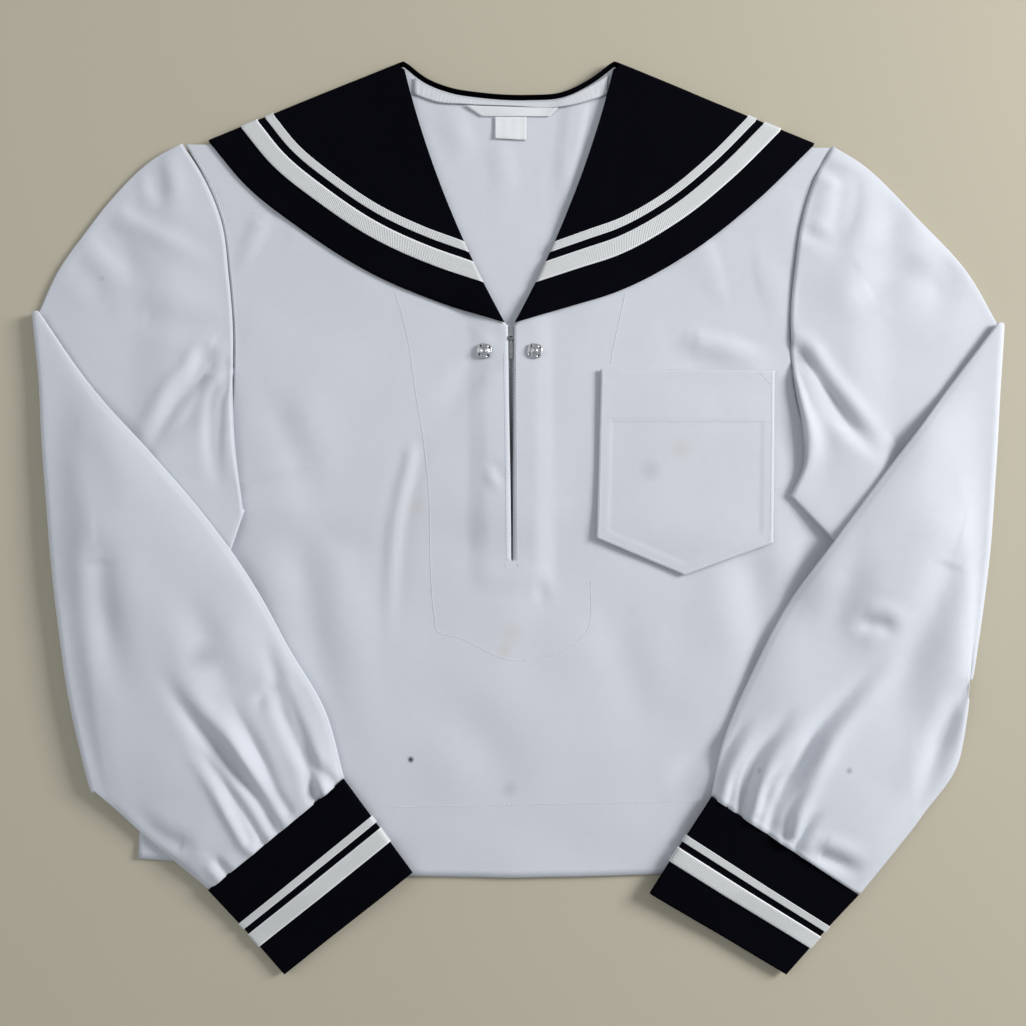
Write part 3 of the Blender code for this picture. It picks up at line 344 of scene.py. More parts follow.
def inset_edges(plan, distance):
    """Draw each row in at both ends by a distance, and space its points evenly again."""
    for row in plan:
        run = distances_along(row)
        share = np.linspace(distance, run[-1] - distance, len(row)) / run[-1]
        row[:] = at_shares(row.copy(), run, share)


def refined(grid, steps):
    """Split each cell of a grid evenly, by straight lines."""
    for axis in (0, 1):
        count = grid.shape[axis]
        place = np.linspace(0, count - 1, (count - 1) * steps + 1)
        low = np.minimum(place.astype(int), count - 2)
        share = (place - low).reshape([-1 if a == axis else 1 for a in range(3)])
        grid = np.take(grid, low, axis) * (1 - share) + np.take(grid, low + 1, axis) * share
    return grid


print("a curve has", len(dense_curve(ARMHOLE["left"])[0]), "points")

# %% [markdown]
# A crease's height at a point depends on the distance to its line. A bell curve is taken off there,
# and a wider, lower one is added beside it, more on the side that the crease leans to. The ripple is
# a sum of long sine waves, a fraction of a millimetre high, because laid cloth is never quite level.

# %% Crease and ripple heights
def crease_height(plan, table):
    """Sum over creases of depth times fade times (ridge bells less trough bell)."""
    height = np.zeros(plan.shape[:-1])
    for points, width, depth, lean in table:
        line, run = dense_curve(points)
        line = line[::12]
        run = run[::12] / run[-1]
        best = np.full(height.shape, 1e9)
        share = np.zeros(height.shape)
        signed = np.zeros(height.shape)
        for k in range(len(line) - 1):
            step = line[k + 1] - line[k]
            offset = plan - line[k]
            t = np.clip((offset @ step) / (step @ step), 0, 1)
            away = offset - t[..., None] * step
            distance = np.linalg.norm(away, axis=-1)
            closer = distance < best
            best = np.where(closer, distance, best)
            share = np.where(closer, run[k] + t * (run[k + 1] - run[k]), share)
            cross = step[0] * away[..., 1] - step[1] * away[..., 0]
            signed = np.where(closer, np.where(cross < 0, -distance, distance), signed)
        fade = (1 - smooth((share - 0.35) / 0.65)) * smooth(share / 0.06 + 0.55)
        ridge = (0.35 + 0.3 * lean) * np.exp(-(((signed - 1.9 * width) / (1.1 * width)) ** 2))
        ridge += (0.35 - 0.3 * lean) * np.exp(-(((signed + 1.9 * width) / (1.1 * width)) ** 2))
        height += depth * fade * (ridge - np.exp(-((best / width) ** 2)))
    return height


def ripple(plan, size, turn):
    """Sum of three sine waves of about 40 to 90 mm, in directions set by turn."""
    x, y = plan[..., 0], plan[..., 1]
    first = np.sin(x / 9.1 * math.cos(turn) + y / 13.7 * math.sin(turn) + 1.3)
    second = np.sin(x / 14.9 * math.sin(turn) - y / 10.3 * math.cos(turn) + 0.4)
    third = np.sin((x + y) / 17.3 + 2.2 * np.sin(y / 31 + turn))
    return size * (first * second + 0.8 * third)


print("crease test", crease_height(np.array([[0.0, 0.0]]), FRONT_CREASES).round(2))

# %% [markdown]
# The ground is a square map of heights. Each layer raises it, and the next layer lies on its highest
# cloth within a short reach, smoothed, so a stiff piece bridges a step as real cloth does.

# %% Ground
class Ground:
    """Height of the highest cloth laid so far."""

    def __init__(self, top=None):
        count = int(2 * GROUND_HALF / CELL) + 1
        self.top = np.zeros((count, count)) if top is None else top.copy()

    def lay(self, grid, keep=None, steps=3):
        """Raise the ground to the upper face of a cloth grid, or to its kept part."""
        points = refined(grid, steps).reshape(-1, 3)
        if keep is not None:
            points = points[keep(points)]
        cells = np.rint((points[:, :2] + GROUND_HALF) / CELL).astype(int)
        np.maximum.at(self.top, (cells[:, 0], cells[:, 1]), points[:, 2] + CLOTH / 2)

    def under(self, plan, reach):
        """Take the highest ground in reach, then the mean in half of it, read between cells."""
        field = self.top
        for size, pick in ((round(reach / CELL), np.max), (round(reach / CELL / 2), np.mean)):
            for axis in (0, 1):
                field = pick([np.roll(field, s, axis) for s in range(-size, size + 1)], axis=0)
        place = np.clip((plan + GROUND_HALF) / CELL, 0, field.shape[0] - 1.001)
        low = place.astype(int)
        share = place - low
        x, y = low[..., 0], low[..., 1]
        sx, sy = share[..., 0], share[..., 1]
        left = field[x, y] * (1 - sy) + field[x, y + 1] * sy
        right = field[x + 1, y] * (1 - sy) + field[x + 1, y + 1] * sy
        return left * (1 - sx) + right * sx

    def rest(self, plan, reach):
        """Return the height for the middle of a layer that lies on the ground."""
        return self.under(plan, reach) + GAP + CLOTH / 2


ground = Ground()
print("ground cells", ground.top.shape)

# %% [markdown]
# Every finish is made of nodes. Three effects are shared: the crossed threads of a weave, soft uneven
# toning, and a round mark for a stain. Each is a node group with its own inputs, and gives out only
# masks or heights, so the shader itself stays in each material.

# %% Shader groups
def new_group(name, inputs, outputs):
    """Make an empty node group with float or vector sockets."""
    group = bpy.data.node_groups.new(name, "ShaderNodeTree")
    for socket, kind, value in inputs:
        made = group.interface.new_socket(name=socket, in_out="INPUT", socket_type=kind)
        if value is not None:
            made.default_value = value
    for socket, kind in outputs:
        group.interface.new_socket(name=socket, in_out="OUTPUT", socket_type=kind)
    return group, group.nodes.new("NodeGroupInput"), group.nodes.new("NodeGroupOutput")


def maths(tree, operation, a, b=None):
    """Add a Math node whose inputs are sockets or numbers."""
    node = tree.nodes.new("ShaderNodeMath")
    node.operation = operation
    for socket, value in zip(node.inputs, (a, b)):
        if value is None:
            continue
        if isinstance(value, (int, float)):
            socket.default_value = value
        else:
            tree.links.new(value, socket)
    return node.outputs[0]


def weave_group():
    """Threads: the mean of two crossed sine waves, softened by a little noise."""
    group, taken, given = new_group(
        "weave",
        [("Vector", "NodeSocketVector", None), ("Threads", "NodeSocketFloat", 400.0)],
        [("Height", "NodeSocketFloat")],
    )
    waves = []
    for direction in ("X", "Y"):
        wave = group.nodes.new("ShaderNodeTexWave")
        wave.bands_direction = direction
        wave.inputs["Distortion"].default_value = 0.6
        wave.inputs["Detail Scale"].default_value = 0.4
        group.links.new(taken.outputs["Vector"], wave.inputs["Vector"])
        group.links.new(taken.outputs["Threads"], wave.inputs["Scale"])
        waves.append(wave.outputs["Fac"])
    height = maths(group, "MULTIPLY", maths(group, "ADD", waves[0], waves[1]), 0.5)
    group.links.new(height, given.inputs["Height"])
    return group


def toning_group():
    """Toning: broad noise and fine noise added, from 0 to 1."""
    group, taken, given = new_group(
        "toning",
        [("Vector", "NodeSocketVector", None), ("Broad", "NodeSocketFloat", 9.0),
         ("Fine", "NodeSocketFloat", 160.0)],
        [("Tone", "NodeSocketFloat")],
    )
    parts = []
    for socket, detail in (("Broad", 3.0), ("Fine", 2.0)):
        noise = group.nodes.new("ShaderNodeTexNoise")
        noise.inputs["Detail"].default_value = detail
        group.links.new(taken.outputs["Vector"], noise.inputs["Vector"])
        group.links.new(taken.outputs[socket], noise.inputs["Scale"])
        parts.append(noise.outputs["Fac"])
    broad = maths(group, "MULTIPLY", parts[0], 0.7)
    fine = maths(group, "MULTIPLY", parts[1], 0.3)
    mixed = maths(group, "ADD", broad, fine)
    group.links.new(mixed, given.inputs["Tone"])
    return group


def mark_group():
    """A round mark: 1 at its centre, falling to 0 at its radius."""
    group, taken, given = new_group(
        "mark",
        [("Vector", "NodeSocketVector", None), ("Centre", "NodeSocketVector", None),
         ("Radius", "NodeSocketFloat", 0.003)],
        [("Mask", "NodeSocketFloat")],
    )
    distance = group.nodes.new("ShaderNodeVectorMath")
    distance.operation = "DISTANCE"
    group.links.new(taken.outputs["Vector"], distance.inputs[0])
    group.links.new(taken.outputs["Centre"], distance.inputs[1])
    share = maths(group, "DIVIDE", distance.outputs["Value"], taken.outputs["Radius"])
    mask = maths(group, "MAXIMUM", maths(group, "SUBTRACT", 1.0, share), 0.0)
    group.links.new(mask, given.inputs["Mask"])
    return group


GROUPS = {"weave": weave_group(), "toning": toning_group(), "mark": mark_group()}
print("shader groups", sorted(GROUPS))

# %% [markdown]
# White cloth is a matt plain weave, a little bluish, with faint uneven toning, a soft sheen and a few
# small stains where it was worn. Navy cloth is nearly black, with a coarser, duller wool-look weave.

# %% Cloth materials
def place_group(tree, name, vector, **values):
    """Put a shared group into a material, with its own values."""
    node = tree.nodes.new("ShaderNodeGroup")
    node.node_tree = GROUPS[name]
    tree.links.new(vector, node.inputs["Vector"])
    for socket, value in values.items():
        node.inputs[socket].default_value = value
    return node.outputs[0]


def mix_colour(tree, share, a, b):
    """Mix two colours, each a socket or a plain colour, by a mask."""
    node = tree.nodes.new("ShaderNodeMix")
    node.data_type = "RGBA"
    tree.links.new(share, node.inputs[0])
    for socket, value in ((node.inputs[6], a), (node.inputs[7], b)):
        if isinstance(value, tuple):
            socket.default_value = (*value, 1)
        else:
            tree.links.new(value, socket)
    return node.outputs[2]


def add_bump(tree, shader, height, strength, distance):
    """Feed a height into the shader's normal."""
    bump = tree.nodes.new("ShaderNodeBump")
    bump.inputs["Strength"].default_value = strength
    bump.inputs["Distance"].default_value = distance
    tree.links.new(height, bump.inputs["Height"])
    tree.links.new(bump.outputs["Normal"], shader.inputs["Normal"])


def start_material(name, roughness, metallic=0.0, sheen=0.0, specular=0.3):
    """Make a material and return it with its tree, its shader and its coordinate sockets."""
    made = bpy.data.materials.new(name)
    made.use_nodes = True
    tree = made.node_tree
    shader = tree.nodes["Principled BSDF"]
    shader.inputs["Roughness"].default_value = roughness
    shader.inputs["Metallic"].default_value = metallic
    shader.inputs["Sheen Weight"].default_value = sheen
    shader.inputs["Specular IOR Level"].default_value = specular
    place = tree.nodes.new("ShaderNodeTexCoord")
    return made, tree, shader, place.outputs["Object"], place.outputs["UV"]


def cloth_material(name, dark, light, threads, bump, roughness, sheen, marks=(), specular=0.2):
    """Weave and toning mix two colours, marks tint them, and threads with faint folds make the bump."""
    made, tree, shader, place, uv = start_material(name, roughness, sheen=sheen, specular=specular)
    weave = place_group(tree, "weave", uv, Threads=threads)
    tone = place_group(tree, "toning", place, Broad=9.0, Fine=160.0)
    share = maths(tree, "ADD", maths(tree, "MULTIPLY", weave, 0.2), maths(tree, "MULTIPLY", tone, 0.75))
    colour = mix_colour(tree, share, dark, light)
    for x, y, z, radius, strength, tint in marks:
        centre = ((x - CENTRE[0]) * MM, (y - CENTRE[1]) * MM, z * MM)
        mask = place_group(tree, "mark", place, Centre=centre, Radius=radius * MM)
        faded = maths(tree, "MULTIPLY", mask, strength)
        mask = maths(tree, "MULTIPLY", faded, maths(tree, "ADD", tone, 0.4))
        colour = mix_colour(tree, mask, colour, tint)
    tree.links.new(colour, shader.inputs["Base Color"])
    height = maths(tree, "ADD", weave, maths(tree, "MULTIPLY", tone, 1.6))
    add_bump(tree, shader, height, bump, 0.0004)
    return made


YELLOWISH = (0.55, 0.47, 0.30)
GREYISH = (0.22, 0.22, 0.24)
BODY_MARKS = [
    (-60, -145, 4, 2.4, 1.6, (0.03, 0.03, 0.04)), (-1, -71, 5, 9, 0.25, YELLOWISH),
    (-57, 4, 5, 8, 0.25, YELLOWISH), (-5, -81, 5, 6, 0.3, YELLOWISH), (-2, -162, 4, 6, 0.3, GREYISH),
]
POCKET_MARKS = [(99, 38, 7, 9, 0.35, YELLOWISH), (81, 25, 7, 8, 0.3, GREYISH)]
SLEEVE_MARKS = [
    (-179, -84, 13, 11, 0.5, GREYISH), (143, -150, 12, 2.5, 0.5, GREYISH),
    (147, -150, 12, 2.5, 0.5, GREYISH), (195, -150, 12, 2.5, 0.7, GREYISH), (-246, 140, 6, 3, 0.6, GREYISH),
]
WHITE = ((0.60, 0.62, 0.67), (0.71, 0.73, 0.79))
body_cloth = cloth_material("white_body_cloth", *WHITE, 1000, 0.35, 0.85, 0.15, BODY_MARKS)
pocket_cloth = cloth_material("white_pocket_cloth", *WHITE, 1000, 0.35, 0.85, 0.15, POCKET_MARKS)
sleeve_cloth = cloth_material("white_sleeve_cloth", *WHITE, 1000, 0.35, 0.85, 0.15, SLEEVE_MARKS)
navy_cloth = cloth_material("navy_wool_cloth", (0.0006, 0.0007, 0.0020), (0.0022, 0.0024, 0.0055),
                            700, 0.5, 0.92, 0.0, specular=0.05)
print("cloth materials", body_cloth.name, sleeve_cloth.name, navy_cloth.name)

# %% [markdown]
# The tapes are ribbed braid: fine ribs across them, and an edge cord on both sides with a painted
# highlight; the neck binding's edges get painted shade instead. Their own UV map runs along the tape
# in metres and across it from 0 to 1, so the ribs turn with the tape. Labels are a satin with a
# painted highlight on the folded edge, and the metal is dull nickel.

# %% Tape, label and metal materials
def tape_material(name, dark, light, edge, ribs, roughness):
    """Ribs along the tape mix two colours, and the two edges go to a third, painted light: a highlight on
    light tapes, shade on the binding.
    """
    made, tree, shader, place, uv = start_material(name, roughness, sheen=0.1, specular=0.35)
    parts = tree.nodes.new("ShaderNodeSeparateXYZ")
    tree.links.new(uv, parts.inputs[0])
    wave = maths(tree, "SINE", maths(tree, "MULTIPLY", parts.outputs["X"], 2 * math.pi * ribs))
    rib = maths(tree, "ADD", maths(tree, "MULTIPLY", wave, 0.5), 0.5)
    tone = place_group(tree, "toning", place, Broad=20.0, Fine=300.0)
    share = maths(tree, "ADD", maths(tree, "MULTIPLY", rib, 0.5), maths(tree, "MULTIPLY", tone, 0.5))
    colour = mix_colour(tree, share, dark, light)
    from_middle = maths(tree, "ABSOLUTE", maths(tree, "SUBTRACT", parts.outputs["Y"], 0.5))
    # The edge ramp paints light on both edges: a painted highlight on light tapes, painted shade on the
    # binding.
    painted_edge_ramp = maths(tree, "MULTIPLY", maths(tree, "SUBTRACT", from_middle, 0.38), 12.0)
    mask = maths(tree, "MINIMUM", maths(tree, "MAXIMUM", painted_edge_ramp, 0.0), 1.0)
    tree.links.new(mix_colour(tree, mask, colour, edge), shader.inputs["Base Color"])
    height = maths(tree, "ADD", rib, maths(tree, "MULTIPLY", mask, 1.5))
    add_bump(tree, shader, height, 0.6, 0.0003)
    return made


def metal_material(name, dark, light, roughness):
    """Fine scratches and toning mix two greys and roughen the metal."""
    made, tree, shader, place, uv = start_material(name, roughness, metallic=1.0, specular=0.5)
    tone = place_group(tree, "toning", place, Broad=300.0, Fine=2500.0)
    tree.links.new(mix_colour(tree, tone, dark, light), shader.inputs["Base Color"])
    rough = maths(tree, "ADD", maths(tree, "MULTIPLY", tone, 0.3), roughness - 0.15)
    tree.links.new(rough, shader.inputs["Roughness"])
    add_bump(tree, shader, tone, 0.25, 0.0001)
    return made


# Third colour: painted edge light, a highlight on the braid, labels and zip tapes, painted shade on the
# binding.
braid = tape_material("white_braid", (0.56, 0.58, 0.58), (0.70, 0.72, 0.72), (0.86, 0.87, 0.88), 900, 0.6)
binding_cloth = tape_material("binding_cloth", (0.62, 0.64, 0.66), (0.74, 0.76, 0.80), (0.5, 0.52, 0.56),
                              1200, 0.75)
label_satin = tape_material("label_satin", (0.76, 0.78, 0.80), (0.84, 0.86, 0.87), (0.90, 0.91, 0.92),
                            1500, 0.5)
zip_cloth = tape_material("zip_tape_cloth", (0.60, 0.61, 0.64), (0.72, 0.73, 0.77), (0.78, 0.79, 0.83),
                          1200, 0.7)
thread_white = cloth_material("white_thread", (0.70, 0.72, 0.77), (0.86, 0.88, 0.92), 900, 0.3, 0.6, 0.2)
coil_grey = cloth_material("coil_plastic", (0.30, 0.31, 0.33), (0.42, 0.43, 0.46), 900, 0.2, 0.45, 0.0)
nickel = metal_material("dull_nickel", (0.32, 0.32, 0.34), (0.70, 0.70, 0.72), 0.34)
print("trim materials", braid.name, label_satin.name, nickel.name)

# %% [markdown]
# A grid becomes a mesh in one go: corner indices and UVs are worked out as arrays. Solidify then gives
# the cloth its thickness. Each piece rides on the garment and stands for its solid.

# %% Making a cloth piece
def grid_corners(rows, columns, closed):
    """Return the row and column of each quad's four corners."""
    r, c = np.meshgrid(np.arange(rows - 1), np.arange(columns if closed else columns - 1), indexing="ij")
    corner_rows = np.stack([r, r + 1, r + 1, r], -1).reshape(-1, 4)
    corner_columns = np.stack([c, c, c + 1, c + 1], -1).reshape(-1, 4)
    return corner_rows, corner_columns


def grid_uv(grid, closed, across_unit):
    """Measure mean distances across and down the grid, or 0 to 1 down it for a tape."""
    ring = np.concatenate([grid, grid[:, :1]], axis=1) if closed else grid
    across = np.linalg.norm(np.diff(ring, axis=1), axis=-1).mean(axis=0)
    down = np.linalg.norm(np.diff(grid, axis=0), axis=-1).mean(axis=1)
    u = np.concatenate([[0], np.cumsum(across)]) * MM
    v = np.concatenate([[0], np.cumsum(down)]) * MM
    return u, v / v[-1] if across_unit else v


def mesh_from_grids(name, grids, look, closed=False, across_unit=False):
    """Put one or more grids into one mesh, and join the points that they share."""
    points, faces, uvs, base = [], [], [], 0
    for grid in grids:
        rows, columns = grid.shape[:2]
        r, c = grid_corners(rows, columns, closed)
        u, v = grid_uv(grid, closed, across_unit)
        points.append(((grid - (*CENTRE, 0.0)) * MM).reshape(-1, 3))
        faces.append(base + r * columns + c % columns)
        uvs.append(np.stack([u[c], v[r]], axis=-1).reshape(-1, 2))
        base += rows * columns
    mesh = bpy.data.meshes.new(name)
    mesh.from_pydata(np.concatenate(points).tolist(), [], np.concatenate(faces).tolist())
    layer = mesh.uv_layers.new(name="UVMap")
    layer.data.foreach_set("uv", np.concatenate(uvs).ravel())
    if len(grids) > 1:
        work = bmesh.new()
        work.from_mesh(mesh)
        bmesh.ops.remove_doubles(work, verts=work.verts, dist=0.02 * MM)
        work.to_mesh(mesh)
        work.free()
    mesh.materials.append(look)
    mesh.shade_smooth()
    thing = bpy.data.objects.new(name, mesh)
    bpy.context.collection.objects.link(thing)
    return thing


def cloth_piece(name, grids, look, closed=False, wall=WALL, tape=False):
    """Make a cloth piece, give it its wall, hang it on the garment and hide its frame part."""
    thing = mesh_from_grids(name, grids, look, closed, tape)
    solid = thing.modifiers.new("wall", "SOLIDIFY")
    solid.thickness = wall * MM
    solid.offset = 0.0
    solid.use_rim = True
    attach(thing, "garment")
    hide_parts(name.replace("_cloth", ""))
    return thing


print("helpers ready")

# %% [markdown]
# The back panel lies on the surface and over the collar's hidden flap, which lifts it a little. It
# shows only in the V neck, but it is whole, with low folds of its own, because the object is judged
# from all sides.

# %% Back panel
COLLAR_DEPTH = 118.0
TAPE_WIDE = (20.0, 30.0)
TAPE_NARROW = (34.5, 39.5)
FLAP_BOTTOM_Y = 35.0
FLAP_INSET = 45.0
FLAP_MIDDLE = 1.8
FLAP_LIFT = 2.6
ROLL_FROM = 0.92


def flap_lift(plan):
    """Fall from the flap's lift to 0 between 18 and 48 mm from it."""
    x, y = plan[..., 0], plan[..., 1]
    beside = np.maximum(np.maximum(COLLAR_CORNER["left"][0] - x, x - COLLAR_CORNER["right"][0]), 0)
    below = np.maximum(FLAP_BOTTOM_Y - y, 0)
    return FLAP_LIFT * (1 - smooth((np.hypot(beside, below) - 18.0) / 30.0))


def v_edge(side, shares):
    """A straight line down the V's edge, plus a bow of 4 k (1 - k)."""
    top, bottom = np.array(NECK_POINT[side], float), np.array(V_BOTTOM[side], float)
    k = np.asarray(shares)[:, None]
    return top + k * (bottom - top) + side_sign(side) * V_BOW * 4 * k * (1 - k) * np.array((1.0, 0.0))


def outer_boundary(side):
    """Join the armhole and the side seam."""
    return ARMHOLE[side] + SIDE_SEAM[side][1:]


def make_back():
    """Fill the neck, the hem and the two outer edges, at the floor's height plus the flap's lift."""
    shares = np.linspace(0, 1, 17)
    up = along_straight([COLLAR_CORNER["left"], NECK_POINT["left"]], shares)
    neck = along(BACK_NECK, np.linspace(0, 1, 45))
    down = along_straight([NECK_POINT["right"], COLLAR_CORNER["right"]], shares)
    tips = np.array([SHOULDER_TIP["left"], SHOULDER_TIP["right"]], float)
    near = np.concatenate([tips[:1], up[:-1], neck, down[1:], tips[1:]]) - (0, EDGE_ROOM)
    run = distances_along(near)
    columns = run / run[-1]
    sides = {}
    for side in ("left", "right"):
        armpit = share_at(outer_boundary(side), ARMHOLE[side][-1][1] + 1)
        rows_down = np.concatenate([np.linspace(0, armpit, 60), np.linspace(armpit, 1, 50)[1:]])
        sides[side] = along(outer_boundary(side), rows_down)
        sides[side][0, 1] -= EDGE_ROOM
    rows = np.linspace(0, 1, len(sides["left"]))
    plan = patch(near, along(BACK_HEM, columns), sides["left"], sides["right"], rows, columns)
    folds = np.clip(crease_height(plan, BACK_CREASES), 0, 0.9)
    return with_height(plan, FLOOR_LAYER + flap_lift(plan) + folds)


back = make_back()
cloth_piece("back_panel_cloth", [back], body_cloth)
ground.lay(back, steps=4)

# %% [markdown]
# Inside the back neck are a binding and two bare labels. Each is a narrow strip that lies on the back
# panel, and the binding curves with the neck.

# %% Neck binding and labels
BINDING_UPPER = [(-59.5, 262), (-50, 256.5), (-38, 252), (-20, 249), (10, 247.5), (29, 249),
                 (46, 257), (57, 264)]
BINDING_LOWER = [(-59.5, 252), (-45, 247), (-30, 246), (-2, 245), (28, 244), (40, 246), (57, 252)]
LABELS = {
    "neck_label": [(-29, 245.2), (27, 243.4), (-19, 238.6), (22, 238.6)],
    "care_label": [(-11, 238.2), (8, 238.2), (-11, 225), (8, 224)],
}


def strip(upper, lower):
    """Fill between two edges with a strip, seven points deep."""
    t = np.linspace(0, 1, 7)[:, None, None]
    return upper[None] + t * (lower - upper)[None]


shares = np.linspace(0, 1, 61)
plan = strip(along(BINDING_UPPER, shares), along(BINDING_LOWER, shares))
cloth_piece("neck_binding_cloth", [with_height(plan, ground.rest(plan, REACH["binding"]) - 0.1)],
            binding_cloth, wall=0.7, tape=True)
for name, corners in LABELS.items():
    top, bottom = [along_straight(corners[k:k + 2], np.linspace(0, 1, 25)) for k in (0, 2)]
    plan = strip(top, bottom)
    size = (abs(corners[1][0] - corners[0][0]) * MM, (corners[0][1] - corners[2][1] + 0.6) * MM)
    cloth_piece(f"{name}_cloth", [with_height(plan, ground.rest(plan, REACH["binding"]) - 0.1)],
                label_satin, wall=0.6, tape=True)

# %% [markdown]
# The zip's two tapes lie under the slit, with a coil along their inner edges. The slider and the pull
# tab keep their solids, which have the right shape, and only get a better metal.

# %% Zip tapes
def share_down_slit(y):
    """Go from 0 at the slit's top to 1 at its end."""
    return smooth((V_BOTTOM["left"][1] - y) / (V_BOTTOM["left"][1] - SLIT["end_y"]))


def slit_edge(side, y):
    """The slit's middle plus or minus half its narrowing width."""
    share = share_down_slit(y)
    half = (SLIT["top_width"] + share * (SLIT["end_width"] - SLIT["top_width"])) / 2
    return SLIT["x"] + SLIT["drift"] * share + side_sign(side) * half


zip_y = np.linspace(V_BOTTOM["left"][1] - 1, SLIT["end_y"] - 4, 90)
zip_middle = SLIT["x"] + SLIT["drift"] * share_down_slit(zip_y)
zip_tapes = []
for side in ("left", "right"):
    across = np.linspace(GAP / 2, 9.0, 6)[::side_sign(side)]
    x = zip_middle[:, None] + side_sign(side) * across[None, :]
    plan = np.stack([x, np.broadcast_to(zip_y[:, None], x.shape)], axis=-1)
    grid = with_height(plan, ground.rest(plan, REACH["zip"]))
    zip_tapes.append(grid)
    cloth_piece(f"zip_tape_{side}_cloth", [grid], zip_cloth,
                wall=0.6)
for grid in zip_tapes:
    ground.lay(grid)
for name in ("zip_slider", "zip_pull_tab"):
    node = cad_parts[name]
    for slot in node.material_slots:
        slot.material = nickel
print("zip tapes", len(zip_tapes))

# %% [markdown]
# The front panel is two halves that share their points below the slit. It lies on the back, puffed up
# a little in the middle, and the creases are pressed into it.

# %% Front panel
V_ROWS, SLIT_ROWS, LOW_ROWS = 54, 54, 48
V_LEVEL, SLIT_LEVEL = 128.0, -12.0
FRONT_COLUMNS = np.linspace(0, 1, 81)


def front_edges(side):
    """Pair points down the outer edge with points down the V, the slit and the middle."""
    outer = outer_boundary(side)
    share_v, share_slit = share_at(outer, V_LEVEL), share_at(outer, SLIT_LEVEL)
    outer_shares = np.concatenate([
        np.linspace(0, share_v, V_ROWS + 1)[:-1],
        np.linspace(share_v, share_slit, SLIT_ROWS + 1)[:-1],
        np.linspace(share_slit, 1, LOW_ROWS),
    ])
    in_v = v_edge(side, np.linspace(0, 1, V_ROWS + 1)[:-1])
    in_v[:, 0] += side_sign(side) * 1.5 * np.linspace(1, 0.6, V_ROWS)
    slit_y = np.linspace(V_BOTTOM[side][1] - 2, SLIT["end_y"], SLIT_ROWS)
    in_slit = np.stack([slit_edge(side, slit_y), slit_y], axis=-1)
    middle = (slit_edge("left", SLIT["end_y"]) + slit_edge("right", SLIT["end_y"])) / 2
    low_y = np.linspace(SLIT["end_y"] - 2, HEM_MIDDLE[1], LOW_ROWS)
    in_low = np.stack([np.full(LOW_ROWS, middle), low_y], axis=-1)
    first = along(outer, outer_shares)
    last = np.concatenate([in_v, in_slit, in_low])
    first[0, 1] -= EDGE_ROOM
    last[0, 1] -= 2 * EDGE_ROOM
    return first, last


def make_front():
    """Lay each half on the ground, plus the puff and the creases, which fade at every edge."""
    halves = {}
    for side in ("left", "right"):
        first, last = front_edges(side)
        rows = np.linspace(0, 1, len(first))
        corner = np.subtract(COLLAR_CORNER[side], (0, EDGE_ROOM))
        near = along_straight([first[0], corner, last[0]], FRONT_COLUMNS)
        far = along([HEM_CORNER[side], (side_sign(side) * 70, -212.5), last[-1]], FRONT_COLUMNS)
        plan = patch(near, far, first, last, rows, FRONT_COLUMNS)
        from_edge = smooth(FRONT_COLUMNS / 0.3)[None, :]
        from_ends = (smooth((rows - 0.34) / 0.2) * (1 - 0.8 * smooth((rows - 0.88) / 0.12)))[:, None]
        at_side = smooth(FRONT_COLUMNS / 0.06)[None, :]
        relief = CREASE_STRENGTH["front"] * crease_height(plan, FRONT_CREASES) + ripple(plan, 0.18, 0.6)
        puff = PUFF["front"] * from_edge * from_ends + relief * at_side
        grid = with_height(plan, ground.rest(plan, REACH["front"]) + np.maximum(puff, 0))
        halves[side] = grid if side == "left" else grid[:, ::-1]
    split = len(rows) - LOW_ROWS
    shared = (halves["left"][split:, -1] + halves["right"][split:, 0]) / 2
    halves["left"][split:, -1] = shared
    halves["right"][split:, 0] = shared
    return halves


front = make_front()
cloth_piece("front_panel_cloth", list(front.values()), body_cloth)
for grid in front.values():
    ground.lay(grid, steps=4)

# %% [markdown]
# The sailor collar is one navy sheet: a lapel down each side of the V, a turn over each shoulder fold,
# and a square flap under the back. Its rows keep their distance from the outer edge, so the two tapes
# are simply bands of those rows, moved out by the cloth's thickness.

# %% Collar and its tapes
COLLAR_SHARES = np.concatenate([np.linspace(0, ROLL_FROM, 48), np.linspace(ROLL_FROM, 0.98, 9)[1:]])
LAPEL_COLUMNS = np.linspace(0, 1, 57)
TURN_STEPS = np.linspace(0, 1, 9)[1:]


def lapel_point(side, depth, places):
    """Go from the outer edge to the neck point by the depth, with the V's bow near the V."""
    neck = np.array(NECK_POINT[side], float)
    edge = along(COLLAR_EDGE[side], places)
    from_v = (1 - places)[:, None]
    w = depth * (1 - 0.11 * from_v * (1 - depth))
    bow = side_sign(side) * V_BOW * 4 * w * (1 - w) * from_v**3
    return neck + (1 - w) * (edge - neck) + bow * np.array((1.0, 0.0))


def flap_row(depth):
    """Three sides of a rectangle that turn into the back neck's curve as the depth grows."""
    inset = min(depth * COLLAR_DEPTH, FLAP_INSET)
    ends = [lapel_point(s, inset / COLLAR_DEPTH, np.array([1.0]))[0] for s in ("left", "right")]
    corners = [np.array((end[0], FLAP_BOTTOM_Y + inset)) for end in ends]
    down = np.linspace(0, 1, 21)[:, None]
    bottom = np.linspace(0, 1, 31)[1:-1, None]
    outline = np.concatenate([
        ends[0] + down * (corners[0] - ends[0]),
        corners[0] + bottom * (corners[1] - corners[0]),
        corners[1] + down * (ends[1] - corners[1]),
    ])
    places = np.concatenate([[0], np.linspace(0, 1, len(outline) - 2), [1]])
    to_neck = float(np.interp(depth, [FLAP_INSET / COLLAR_DEPTH, ROLL_FROM], [0, 1]))
    row = outline + to_neck * (along(BACK_NECK, places) - outline)
    row[0] = lapel_point("left", depth, np.array([1.0]))[0]
    row[-1] = lapel_point("right", depth, np.array([1.0]))[0]
    return row


